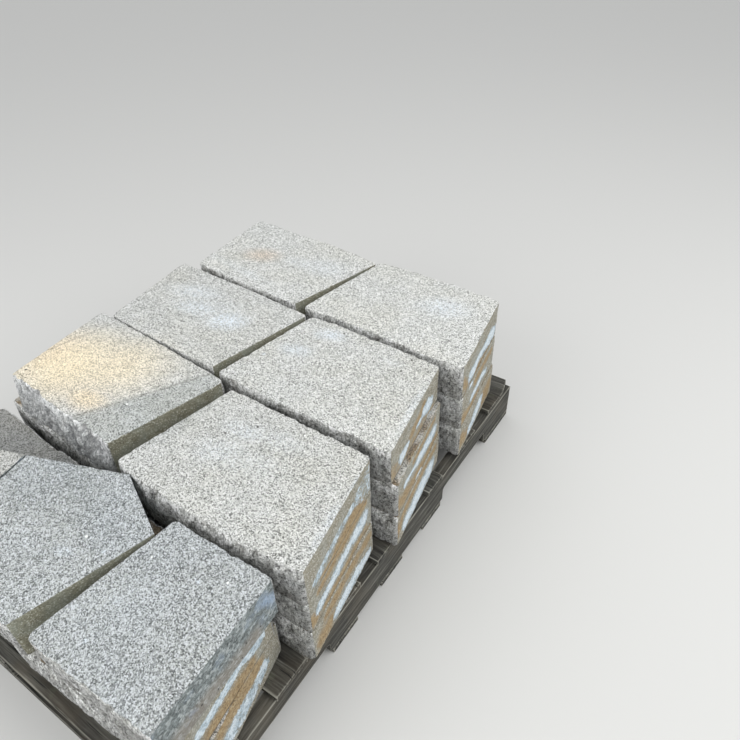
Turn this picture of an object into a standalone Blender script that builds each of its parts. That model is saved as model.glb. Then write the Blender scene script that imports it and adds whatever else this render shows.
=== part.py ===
"""A wooden pallet loaded with split-face trapezoid cap stones, three layers high. Metres, +Z up."""
import math
import random

import bmesh
import bpy
from mathutils import Vector, noise

MM = 0.001
COLLECTION = "Pallet of concrete cap stones"
ANCHOR = "loaded_pallet"

# Driving dimensions, in millimetres.
SEAT_GAP = 0.3

PALLET_LENGTH = 1219.0
PALLET_WIDTH = 1016.0
BOARD_THICK = 16.0
LEAD_BOARD = 140.0
INNER_BOARD = 89.0
NARROW_BOARD = 66.0
STRINGER_WIDE = 32.0
STRINGER_HIGH = 89.0
STRINGER_INSET = 1.0
NOTCH_LONG = 229.0
NOTCH_DEEP = 38.0
NOTCH_FROM_MIDDLE = 228.5
NOTCH_RADIUS = 14.0
BASE_FROM_NOTCH = 6.0
BOARD_ARRIS = 1.6

CAP_LONG = 436.0
CAP_SHORT = 345.0
CAP_DEPTH = 261.0
CAP_THICK = 93.5
ARRIS = 2.2
RELIEF = 7.0
SWELL = 5.0

# How the rows and the two columns are spaced.
LOAD_OVERHANG = 21.0
FAR_SETBACK_RIGHT = 62.5
FAR_SETBACK_LEFT = 53.5
COLUMN_GAP = 35.5
RIGHT_ROW_GAPS = (37.0, 25.0, 20.5)
LEFT_ROW_GAPS = (34.0, 9.0, 30.5)
SWELL_CLEARANCE = 3.0

# The three cut stones on top of the near row.
NARROW_FAR = 209.0
NARROW_NEAR = 254.0
NARROW_SETBACK = 34.0
CUT_GAP = 3.5
MITRE_TIP = 13.0
MITRE_RIGHT = (136.0, 63.0)
MITRE_LEFT = (200.0, 71.5)
MITRE_FOOT = 238.0
MITRE_OVERHANG = 14.5
OFFCUT_FAR = 228.0
OFFCUT_NEAR = 245.0
OFFCUT_DROP = 78.0

LONG_STEPS = 11
SHORT_STEPS = 9
LEVELS = 4
LAYERS = 3

# Both kinds of split face: "tight" is one that nearly meets the next row, so it hardly swells.
BROKEN = ("split", "tight")
TIGHT_OUT = 2.0

# Heights and places worked out from the sizes above.
STRINGER_Z = BOARD_THICK + SEAT_GAP
DECK_Z = STRINGER_Z + STRINGER_HIGH + SEAT_GAP
DECK_TOP = DECK_Z + BOARD_THICK
LAYER_PITCH = CAP_THICK + SEAT_GAP
HALF_LENGTH = PALLET_LENGTH / 2
HALF_WIDTH = PALLET_WIDTH / 2
HALF_DEPTH = CAP_DEPTH / 2
PALLET_X = -LOAD_OVERHANG / 2
RIGHT_X = HALF_WIDTH + LOAD_OVERHANG / 2 - CAP_LONG / 2
LEFT_X = RIGHT_X - (CAP_LONG + CAP_SHORT) / 2 - COLUMN_GAP
MOST_SWELL = min(min(RIGHT_ROW_GAPS), LEFT_ROW_GAPS[0], LEFT_ROW_GAPS[2]) / 2 - SWELL_CLEARANCE


def row_places(setback, gaps):
    """The middle of each row, from the far end of the pallet towards the near one."""
    places = [HALF_LENGTH - setback - HALF_DEPTH]
    for gap in gaps:
        places.append(places[-1] - CAP_DEPTH - gap)
    return places


RIGHT_Y = row_places(FAR_SETBACK_RIGHT, RIGHT_ROW_GAPS)
LEFT_Y = row_places(FAR_SETBACK_LEFT, LEFT_ROW_GAPS)

# How each stone lies off its place: sideways, lengthwise and turn in degrees, for the top, middle
# and bottom layer. The last value is how much rougher than usual its top layer is broken.
RIGHT_LIES = {
    "row3": ((-17.0, 0.0, 0.0), (-14.0, -3.0, -0.8), (-13.0, 3.0, -1.4), 1.0),
    "row2": ((-19.0, 0.0, 0.0), (-7.0, 1.5, 0.7), (-5.0, -1.0, 0.4), 1.0),
    "row1": ((0.0, 0.0, 0.0), (-1.5, 1.0, 0.4), (0.0, 1.5, -0.5), 1.0),
}
LEFT_LIES = {
    "row3": ((4.0, 0.0, -4.4), (-1.0, 3.0, -2.9), (-4.0, -2.0, -3.8), 1.0),
    "row2": ((-1.0, 0.0, -2.4), (-7.0, 2.0, -3.0), (4.0, 5.0, -3.2), 1.0),
    "row1": ((-3.0, 0.0, -3.9), (-49.0, -3.0, -3.3), (-15.0, -2.0, -3.5), 1.6),
}
TIGHT_SIDES = {"left_row1": "far", "left_row2": "near"}

# How far the top layer's split faces stand out past the mean depth, read off the photo. Each pair is a
# share along the face, counter-clockwise, and millimetres. The other broken relief is then weaker.
TOP_PROFILES = {
    "right_row3": {
        "near": ((0.0, 9.0), (0.08, 9.0), (0.25, 3.0), (0.42, 4.0), (0.6, 8.0), (0.8, 13.0), (1.0, 11.0)),
        "far": ((0.0, 3.0), (0.16, 6.5), (0.45, 10.0), (0.7, 12.0), (0.85, 9.0), (1.0, 6.0)),
    },
    "right_row2": {
        "near": ((0.0, 3.0), (0.29, 5.0), (0.53, 7.0), (0.74, 1.5), (1.0, 1.0)),
        "far": ((0.0, 6.0), (0.28, 10.5), (0.47, 11.5), (0.68, 14.0), (0.88, 13.0), (1.0, 9.0)),
    },
    "right_row1": {"far": ((0.0, 2.0), (0.21, 4.0), (0.5, 8.0), (0.8, 9.5), (1.0, 3.0))},
    "left_row3": {
        "near": ((0.0, 13.0), (0.1, 15.0), (0.45, 13.5), (0.72, 8.5), (1.0, 6.0)),
        "far": ((0.0, 6.0), (0.25, 10.5), (0.46, 10.0), (0.7, 0.0), (1.0, 0.0)),
    },
    "left_row2": {"far": ((0.0, 5.0), (0.35, 8.0), (0.64, 7.5), (1.0, 5.0))},
}
WEAKER = 0.3
NEAR_RIGHT_LIES = ((-15.0, 0.0, 2.6), (-15.0, -0.5, -1.6))
NEAR_LEFT_LIES = ((-28.0, 0.0, -3.0), (-20.0, 1.0, -4.0))

# The deck boards from the near end to the far end: width, how far each end stands out, turn, and how
# far it lies off an even spacing.
DECK = (
    (LEAD_BOARD, 0.0, 0.0, 0.0, 0.0),
    (INNER_BOARD, -4.0, 3.0, 0.3, -6.0),
    (INNER_BOARD, 0.0, -1.0, -0.4, 5.0),
    (INNER_BOARD, -5.0, 2.0, 0.2, -31.0),
    (NARROW_BOARD, -2.0, 2.0, -0.5, 14.0),
    (INNER_BOARD, 0.0, 0.0, 0.4, 4.0),
    (LEAD_BOARD, 0.0, -2.0, 0.0, 0.0),
)
BASE_WIDTHS = (LEAD_BOARD, INNER_BOARD, INNER_BOARD, INNER_BOARD, LEAD_BOARD)


def layer_z(layer):
    return DECK_TOP + SEAT_GAP + (layer - 1) * LAYER_PITCH


def clear_scene():
    for item in list(bpy.data.objects):
        bpy.data.objects.remove(item, do_unlink=True)
    for group in list(bpy.data.collections):
        bpy.data.collections.remove(group)


def finish(name, colour, roughness):
    made = bpy.data.materials.new(name)
    made.use_nodes = True
    shader = made.node_tree.nodes["Principled BSDF"]
    shader.inputs["Base Color"].default_value = (*colour, 1.0)
    shader.inputs["Roughness"].default_value = roughness
    shader.inputs["Metallic"].default_value = 0.0
    made.diffuse_color = (*colour, 1.0)
    return made


def tinted(base, chance, spread):
    shift = 1.0 + chance.uniform(-spread, spread)
    return tuple(min(1.0, max(0.0, value * shift)) for value in base)


def add_object(name, mesh, material, home, place, turn=0.0):
    """A new object at its place in millimetres, turned about Z by degrees, under the load's empty."""
    mesh.materials.append(material)
    made = bpy.data.objects.new(name, mesh)
    home.objects.link(made)
    made.parent = bpy.data.objects[ANCHOR]
    made.location = Vector(place) * MM
    made.rotation_euler = (0.0, 0.0, math.radians(turn))
    return made


def outness(pairs, share):
    """The millimetres at a share along a face, straight between the pairs."""
    for (first, low), (second, high) in zip(pairs, pairs[1:]):
        if share <= second:
            return low + (high - low) * (share - first) / (second - first)
    return pairs[-1][1]


def cap_outline(long_side_near, tight):
    """The four corners of a whole cap, counter-clockwise, with the kind of the edge that starts at each."""
    near = CAP_LONG if long_side_near else CAP_SHORT
    far = CAP_SHORT if long_side_near else CAP_LONG
    corners = [(-near / 2, -HALF_DEPTH), (near / 2, -HALF_DEPTH), (far / 2, HALF_DEPTH), (-far / 2, HALF_DEPTH)]
    near_kind = "tight" if tight == "near" else "split"
    far_kind = "tight" if tight == "far" else "split"
    return corners, [near_kind, "moulded", far_kind, "moulded"]


def stations_round(corners, kinds, chance, most_out, profiles):
    """The outline in steps: place, outward direction, fade towards the corners, whether broken, limit.

    A face with a profile is laid along it, its corners too, and what is broken off it is weaker.
    """
    found = []
    count = len(corners)
    for index in range(count):
        start = Vector(corners[index])
        along = Vector(corners[(index + 1) % count]) - start
        outward = Vector((along.y, -along.x)).normalized()
        kind = kinds[index]
        rough_corner = kind in BROKEN or kinds[index - 1] in BROKEN
        profile = profiles.get(index)
        corner = start.copy()
        if profile:
            corner += outward * outness(profile, 0.0)
        elif index - 1 in profiles:
            before = start - Vector(corners[index - 1])
            corner += Vector((before.y, -before.x)).normalized() * outness(profiles[index - 1], 1.0)
        found.append((corner, outward, 0.0, rough_corner, 0.0))
        if kind not in BROKEN:
            continue
        most = TIGHT_OUT if kind == "tight" else most_out
        share = along.length / CAP_SHORT
        steps = LONG_STEPS if share > 1.1 else max(4, round(SHORT_STEPS * min(1.0, share)))
        for step in range(1, steps):
            part = step / steps + chance.uniform(-0.22, 0.22) / steps
            fade = min(1.0, 5.0 * part, 5.0 * (1.0 - part))
            spot = start + along * part
            if profile:
                fade *= WEAKER
                spot += outward * outness(profile, part)
            found.append((spot, outward, fade, True, most))
    return found


def broken_depth(spot_mm, shift, relief, swell, belly):
    """How far a split face stands out at a spot: broad lumps, smaller ones, and a swell between the arrises."""
    broad = noise.noise(spot_mm * 0.011 + shift)
    fine = noise.noise(spot_mm * 0.045 + shift)
    lumps = relief * 1.5 * broad + relief * 0.8 * fine
    return lumps * (0.45 + 0.55 * belly) + swell * belly


def stone(name, corners, kinds, place, turn, seed, material, home, relief=RELIEF, swell=SWELL, profiles=None):
    """One stone: its outline in steps, raised ring by ring, with the split faces broken and the rest flat.

    The outline is in the stone's own frame, with its middle at the origin and its underside at Z = 0.
    """
    chance = random.Random(seed)
    shift = Vector((chance.uniform(-50, 50), chance.uniform(-50, 50), chance.uniform(-50, 50)))
    most_out = min(relief + swell, MOST_SWELL)
    stations = stations_round(corners, kinds, chance, most_out, profiles or {})
    levels = [0.0, ARRIS]
    for level in range(1, LEVELS):
        levels.append(CAP_THICK * level / LEVELS)
    levels.extend([CAP_THICK - ARRIS, CAP_THICK])
    bm = bmesh.new()
    rings = []
    for height in levels:
        part = height / CAP_THICK
        belly = 4.0 * part * (1.0 - part)
        ring = []
        for spot, outward, fade, broken, most in stations:
            out = 0.0
            if fade > 0.0:
                depth = broken_depth(Vector((spot.x, spot.y, height)), shift, relief, swell, belly)
                out = max(-relief, min(most, depth * fade))
            elif broken:
                out = chance.uniform(-1.2, 0.4)
            point = spot + outward * out
            if height in (0.0, CAP_THICK):
                point = point - point.normalized() * ARRIS
            ring.append(bm.verts.new((point.x * MM, point.y * MM, height * MM)))
        rings.append(ring)
    loops = []
    for ring in rings:
        loops.append([bm.edges.new((ring[i - 1], ring[i])) for i in range(len(ring))])
    for lower, upper in zip(loops, loops[1:]):
        bmesh.ops.bridge_loops(bm, edges=lower + upper)
    bmesh.ops.contextual_create(bm, geom=loops[0])
    bmesh.ops.contextual_create(bm, geom=loops[-1])
    bmesh.ops.triangulate(bm, faces=bm.faces[:])
    bmesh.ops.recalc_face_normals(bm, faces=bm.faces[:])
    mesh = bpy.data.meshes.new(name)
    bm.to_mesh(mesh)
    bm.free()
    return add_object(name, mesh, material, home, place, turn)


def whole_cap(
    name, x, y, turn, layer, long_side_near, seed, material, home, relief=RELIEF, tight="", profiles=None
):
    corners, kinds = cap_outline(long_side_near, tight)
    by_face = {{"near": 0, "far": 2}[side]: pairs for side, pairs in (profiles or {}).items()}
    place = (x, y, layer_z(layer))
    return stone(name, corners, kinds, place, turn, seed, material, home, relief, profiles=by_face)


def cut_stone(name, corners, kinds, layer, seed, material, home):
    """A stone cut to fit: its corners are given where it lies on the pallet."""
    middle_x = sum(corner[0] for corner in corners) / len(corners)
    middle_y = sum(corner[1] for corner in corners) / len(corners)
    local = [(x - middle_x, y - middle_y) for x, y in corners]
    place = (middle_x, middle_y, layer_z(layer))
    return stone(name, local, kinds, place, 0.0, seed, material, home, RELIEF * 0.7, SWELL * 0.4)


def cut_outlines():
    """The three cut stones of the near row: a narrow one, a mitred one beside it, and an offcut."""
    near_y = RIGHT_Y[3]
    far_edge = near_y + HALF_DEPTH
    near_edge = near_y - HALF_DEPTH
    right = RIGHT_X + CAP_LONG / 2 - NARROW_SETBACK
    narrow = [
        (right + 16.0 - NARROW_NEAR, near_edge - 12.0),
        (right + 16.0, near_edge - 6.0),
        (right, far_edge - 8.0),
        (right - NARROW_FAR, far_edge - 10.5),
    ]
    tip_y = far_edge + MITRE_TIP
    shoulder = (narrow[3][0] - 8.0, tip_y - MITRE_RIGHT[1])
    tip = (shoulder[0] - MITRE_RIGHT[0], tip_y)
    wing = (tip[0] - MITRE_LEFT[0], tip_y - MITRE_LEFT[1])
    foot_right = (narrow[0][0] - 40.0, near_edge - MITRE_OVERHANG - 7.0)
    foot_left = (foot_right[0] - MITRE_FOOT, near_edge - MITRE_OVERHANG)
    mitred = [foot_left, foot_right, shoulder, tip, wing]
    offcut = [
        (foot_left[0] - CUT_GAP - OFFCUT_NEAR, foot_left[1] + 6.0),
        (foot_left[0] - CUT_GAP, foot_left[1]),
        (wing[0] - CUT_GAP, wing[1] - 1.5),
        (wing[0] - CUT_GAP - OFFCUT_FAR, wing[1] - OFFCUT_DROP),
    ]
    return (
        ("cap_near_right_top", narrow, ["split", "sawn", "split", "moulded"]),
        ("cap_near_middle_top", mitred, ["split", "moulded", "sawn", "sawn", "sawn"]),
        ("cap_near_left_top", offcut, ["split", "sawn", "sawn", "moulded"]),
    )


def board(name, centre, size, z0, material, home, turn=0.0):
    """One sawn board: a box with its arrises eased by a Bevel modifier."""
    bm = bmesh.new()
    bmesh.ops.create_cube(bm, size=1.0)
    bmesh.ops.scale(bm, vec=Vector(size) * MM, verts=bm.verts)
    mesh = bpy.data.meshes.new(name)
    bm.to_mesh(mesh)
    bm.free()
    made = add_object(name, mesh, material, home, (centre[0], centre[1], z0 + size[2] / 2), turn)
    eased = made.modifiers.new("Eased arrises", "BEVEL")
    eased.width = BOARD_ARRIS * MM
    eased.segments = 1
    eased.limit_method = "ANGLE"
    return made


def notch_points(start):
    """One fork notch seen from the side, from its near mouth over its rounded shoulders to its far mouth."""
    points = [(start, 0.0)]
    for side in (1, -1):
        mouth = start if side == 1 else start + NOTCH_LONG
        steps = range(5) if side == 1 else range(4, -1, -1)
        for step in steps:
            angle = math.radians(22.5 * step)
            across = NOTCH_RADIUS * (1.0 - math.cos(angle))
            up = NOTCH_DEEP - NOTCH_RADIUS + NOTCH_RADIUS * math.sin(angle)
            points.append((mouth + side * across, up))
    points.append((start + NOTCH_LONG, 0.0))
    return points


def stringer(name, x, material, home):
    """A plank on edge with two fork notches in its underside: its side view, extruded through its width."""
    profile = [(-HALF_LENGTH, 0.0)]
    profile.extend(notch_points(-NOTCH_FROM_MIDDLE - NOTCH_LONG))
    profile.extend(notch_points(NOTCH_FROM_MIDDLE))
    profile.extend([(HALF_LENGTH, 0.0), (HALF_LENGTH, STRINGER_HIGH), (-HALF_LENGTH, STRINGER_HIGH)])
    bm = bmesh.new()
    verts = [bm.verts.new((-STRINGER_WIDE / 2 * MM, y * MM, z * MM)) for y, z in profile]
    edges = [bm.edges.new((verts[i - 1], verts[i])) for i in range(len(verts))]
    face = bmesh.ops.contextual_create(bm, geom=edges)["faces"]
    raised = bmesh.ops.extrude_face_region(bm, geom=face)["geom"]
    moved = [item for item in raised if isinstance(item, bmesh.types.BMVert)]
    bmesh.ops.translate(bm, vec=Vector((STRINGER_WIDE * MM, 0.0, 0.0)), verts=moved)
    bmesh.ops.triangulate(bm, faces=bm.faces[:])
    bmesh.ops.recalc_face_normals(bm, faces=bm.faces[:])
    mesh = bpy.data.meshes.new(name)
    bm.to_mesh(mesh)
    bm.free()
    return add_object(name, mesh, material, home, (x, 0.0, STRINGER_Z))


def deck_centres():
    """The deck boards share the pallet's length with equal gaps, and each lies a little off that."""
    widths = [row[0] for row in DECK]
    gap = (PALLET_LENGTH - sum(widths)) / (len(widths) - 1)
    found = []
    start = -HALF_LENGTH
    for width, off in zip(widths, [row[4] for row in DECK]):
        found.append(start + width / 2 + off)
        start += width + gap
    return found


def base_centres():
    """The bottom boards: one at each end and three between the fork notches."""
    step = NOTCH_FROM_MIDDLE - INNER_BOARD / 2 - BASE_FROM_NOTCH
    end = HALF_LENGTH - LEAD_BOARD / 2
    return [-end, -step, 0.0, step, end]


def build_pallet(home, chance):
    wood = (0.21, 0.18, 0.15)
    side = HALF_WIDTH - STRINGER_INSET - STRINGER_WIDE / 2
    for name, x in (("stringer_left", -side), ("stringer_middle", 0.0), ("stringer_right", side)):
        stringer(name, PALLET_X + x, finish(name + "_wood", tinted(wood, chance, 0.12), 0.88), home)
    for index, (row, y) in enumerate(zip(DECK, deck_centres())):
        name = f"deck_board_{index + 1}"
        width, left_out, right_out, turn, _ = row
        size = (PALLET_WIDTH + left_out + right_out, width, BOARD_THICK)
        material = finish(name + "_wood", tinted(wood, chance, 0.15), 0.88)
        board(name, (PALLET_X + (right_out - left_out) / 2, y), size, DECK_Z, material, home, turn)
    for index, (width, y) in enumerate(zip(BASE_WIDTHS, base_centres())):
        name = f"base_board_{index + 1}"
        size = (PALLET_WIDTH - 2 * STRINGER_INSET, width, BOARD_THICK)
        material = finish(name + "_wood", tinted(wood, chance, 0.15), 0.9)
        board(name, (PALLET_X, y), size, 0.0, material, home)


def build_stones(home, chance):
    concrete = (0.55, 0.51, 0.46)
    layer_names = {1: "bottom", 2: "middle", 3: "top"}
    seed = 100
    columns = (
        ("left", LEFT_X, LEFT_Y, LEFT_LIES, False),
        ("right", RIGHT_X, RIGHT_Y, RIGHT_LIES, True),
    )
    for column, x, rows, lies, long_side_near in columns:
        for (row, lie), y in zip(lies.items(), rows):
            tight = TIGHT_SIDES.get(f"{column}_{row}", "")
            for layer in range(1, LAYERS + 1):
                seed += 1
                dx, dy, turn = lie[LAYERS - layer]
                relief = RELIEF * (lie[3] if layer == LAYERS else 1.0)
                name = f"cap_{column}_{row}_{layer_names[layer]}"
                material = finish(name + "_concrete", tinted(concrete, chance, 0.08), 0.93)
                shapes = TOP_PROFILES.get(f"{column}_{row}") if layer == LAYERS else None
                where = (x + dx, y + dy, turn, layer, long_side_near)
                whole_cap(name, *where, seed, material, home, relief, tight, shapes)
    near_columns = (
        ("near_left", LEFT_X, LEFT_Y[3], NEAR_LEFT_LIES, False),
        ("near_right", RIGHT_X, RIGHT_Y[3], NEAR_RIGHT_LIES, True),
    )
    for column, x, y, lies, long_side_near in near_columns:
        for layer, (dx, dy, turn) in enumerate(lies, start=1):
            seed += 1
            name = f"cap_{column}_{layer_names[layer]}"
            material = finish(name + "_concrete", tinted(concrete, chance, 0.08), 0.93)
            whole_cap(name, x + dx, y + dy, turn, layer, long_side_near, seed, material, home)
    for name, corners, kinds in cut_outlines():
        seed += 1
        material = finish(name + "_concrete", tinted(concrete, chance, 0.08), 0.93)
        cut_stone(name, corners, kinds, LAYERS, seed, material, home)


def build():
    clear_scene()
    home = bpy.data.collections.new(COLLECTION)
    bpy.context.scene.collection.children.link(home)
    home.objects.link(bpy.data.objects.new(ANCHOR, None))
    build_pallet(home, random.Random(48))
    build_stones(home, random.Random(40))


build()
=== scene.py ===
"""A wooden pallet of split-face concrete caps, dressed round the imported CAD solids. Metres, +Z up."""
import math
import random

import bmesh
import bpy
import numpy as np
from mathutils import Matrix, Vector
from mathutils.bvhtree import BVHTree


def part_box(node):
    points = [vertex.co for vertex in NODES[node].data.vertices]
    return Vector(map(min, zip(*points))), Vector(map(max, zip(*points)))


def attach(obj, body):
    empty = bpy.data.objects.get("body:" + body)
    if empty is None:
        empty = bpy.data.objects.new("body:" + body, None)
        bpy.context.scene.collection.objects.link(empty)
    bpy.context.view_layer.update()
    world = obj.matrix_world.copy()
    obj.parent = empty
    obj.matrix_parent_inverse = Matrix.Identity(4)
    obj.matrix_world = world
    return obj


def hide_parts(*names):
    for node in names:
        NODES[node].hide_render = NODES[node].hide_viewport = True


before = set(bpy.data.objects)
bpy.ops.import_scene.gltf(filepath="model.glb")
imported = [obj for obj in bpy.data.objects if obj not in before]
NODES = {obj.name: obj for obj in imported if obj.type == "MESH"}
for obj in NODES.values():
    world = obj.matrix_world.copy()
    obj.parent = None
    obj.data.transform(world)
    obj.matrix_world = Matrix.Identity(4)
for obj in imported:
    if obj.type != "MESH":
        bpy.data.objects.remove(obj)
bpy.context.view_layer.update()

MM = 0.001

# Sizes of the stones and the wood, in millimetres.
CAP_LONG = 436.0
CAP_SHORT = 345.0
CAP_DEPTH = 261.0
STRINGER_LONG = 1219.0
STRINGER_WIDE = 32.0
STRINGER_HIGH = 89.0
NOTCH_LONG = 229.0
NOTCH_DEEP = 38.0
NOTCH_FROM_MIDDLE = 228.5
NOTCH_RADIUS = 14.0

# How far wear reaches along a plank's faces from its arrises, its ends and a worn corner.
ARRIS_REACH = 7.0
END_REACH = 90.0
CORNER_REACH = 70.0

# The photograph's camera: focal length and width in pixels, and place in metres.
FOCAL_LENGTH = 638.24
PHOTO_WIDE = 740.0
SENSOR_WIDE = 36.0
CAMERA_PLACE = (0.9265, -0.6865, 1.2685)

# Whole caps: middle in x and y, turn in degrees, and the side that the long split face looks to.
WHOLE_CAPS = {
    "cap_left_row3_bottom": (-129.5, 423.5, -3.8, "far"),
    "cap_left_row3_middle": (-126.5, 428.5, -2.9, "far"),
    "cap_left_row3_top": (-121.5, 425.5, -4.4, "far"),
    "cap_left_row2_bottom": (-121.5, 135.5, -3.2, "far"),
    "cap_left_row2_middle": (-132.5, 132.5, -3.0, "far"),
    "cap_left_row2_top": (-126.5, 130.5, -2.4, "far"),
    "cap_left_row1_bottom": (-140.5, -141.5, -3.5, "far"),
    "cap_left_row1_middle": (-174.5, -142.5, -3.3, "far"),
    "cap_left_row1_top": (-128.5, -139.5, -3.9, "far"),
    "cap_near_left_bottom": (-153.5, -431.0, -3.0, "far"),
    "cap_near_left_middle": (-145.5, -430.0, -4.0, "far"),
    "cap_right_row3_bottom": (287.5, 419.5, -1.4, "near"),
    "cap_right_row3_middle": (286.5, 413.5, -0.8, "near"),
    "cap_right_row3_top": (283.5, 416.5, 0.0, "near"),
    "cap_right_row2_bottom": (295.5, 117.5, 0.4, "near"),
    "cap_right_row2_middle": (293.5, 120.0, 0.7, "near"),
    "cap_right_row2_top": (281.5, 118.5, 0.0, "near"),
    "cap_right_row1_bottom": (300.5, -166.0, -0.5, "near"),
    "cap_right_row1_middle": (299.0, -166.5, 0.4, "near"),
    "cap_right_row1_top": (300.5, -167.5, 0.0, "near"),
    "cap_near_right_bottom": (285.5, -449.0, 2.6, "near"),
    "cap_near_right_middle": (285.5, -449.5, -1.6, "near"),
}

# Stones that were cut to fit: corners counter-clockwise, and the kind of face that starts at each.
CUT_CAPS = {
    "cap_near_right_top": (
        ((246.5, -591.5), (500.5, -585.5), (484.5, -326.5), (275.5, -329.0)),
        ("split", "sawn", "split", "moulded"),
    ),
    "cap_near_middle_top": (
        ((-31.5, -594.0), (206.5, -601.0), (267.5, -368.5), (131.5, -305.5), (-68.5, -377.0)),
        ("split", "moulded", "sawn", "sawn", "sawn"),
    ),
    "cap_near_left_top": (
        ((-280.0, -588.0), (-35.0, -594.0), (-72.0, -378.5), (-300.0, -455.0)),
        ("split", "sawn", "sawn", "moulded"),
    ),
}

# How far the corners of the top layer's split faces stand out past the mean depth: the near face's left
# and right corner, then the far face's right and left one.
CORNERS_OUT = {
    "cap_right_row3_top": (9.0, 11.0, 3.0, 6.0),
    "cap_right_row2_top": (1.0, 1.0, 6.0, 9.0),
    "cap_left_row3_top": (13.0, 6.0, 6.0, 0.0),
    "cap_left_row2_top": (0.0, 0.0, 5.0, 5.0),
}

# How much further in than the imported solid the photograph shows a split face, where less than 0 is
# further out. Shares along the face from its first corner, and millimetres.
FURTHER_IN = {
    ("cap_right_row1_top", 0): (
        (0.0, -2.0), (0.1, -8.0), (0.3, -13.0), (0.62, -13.0), (0.85, -9.0), (1.0, -3.0),
    ),
    ("cap_right_row1_top", 2): ((0.0, 2.0), (0.21, 4.0), (0.5, 8.0), (0.8, 9.5), (1.0, 3.0)),
    ("cap_right_row2_top", 0): ((0.0, 2.0), (0.29, 3.0), (0.53, 4.0), (0.74, 0.5), (1.0, 0.0)),
}

# The faces that nearly meet the next row, so they are broken inwards only.
TIGHT_FACES = {"cap_left_row1": "far", "cap_left_row2": "near"}

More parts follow.
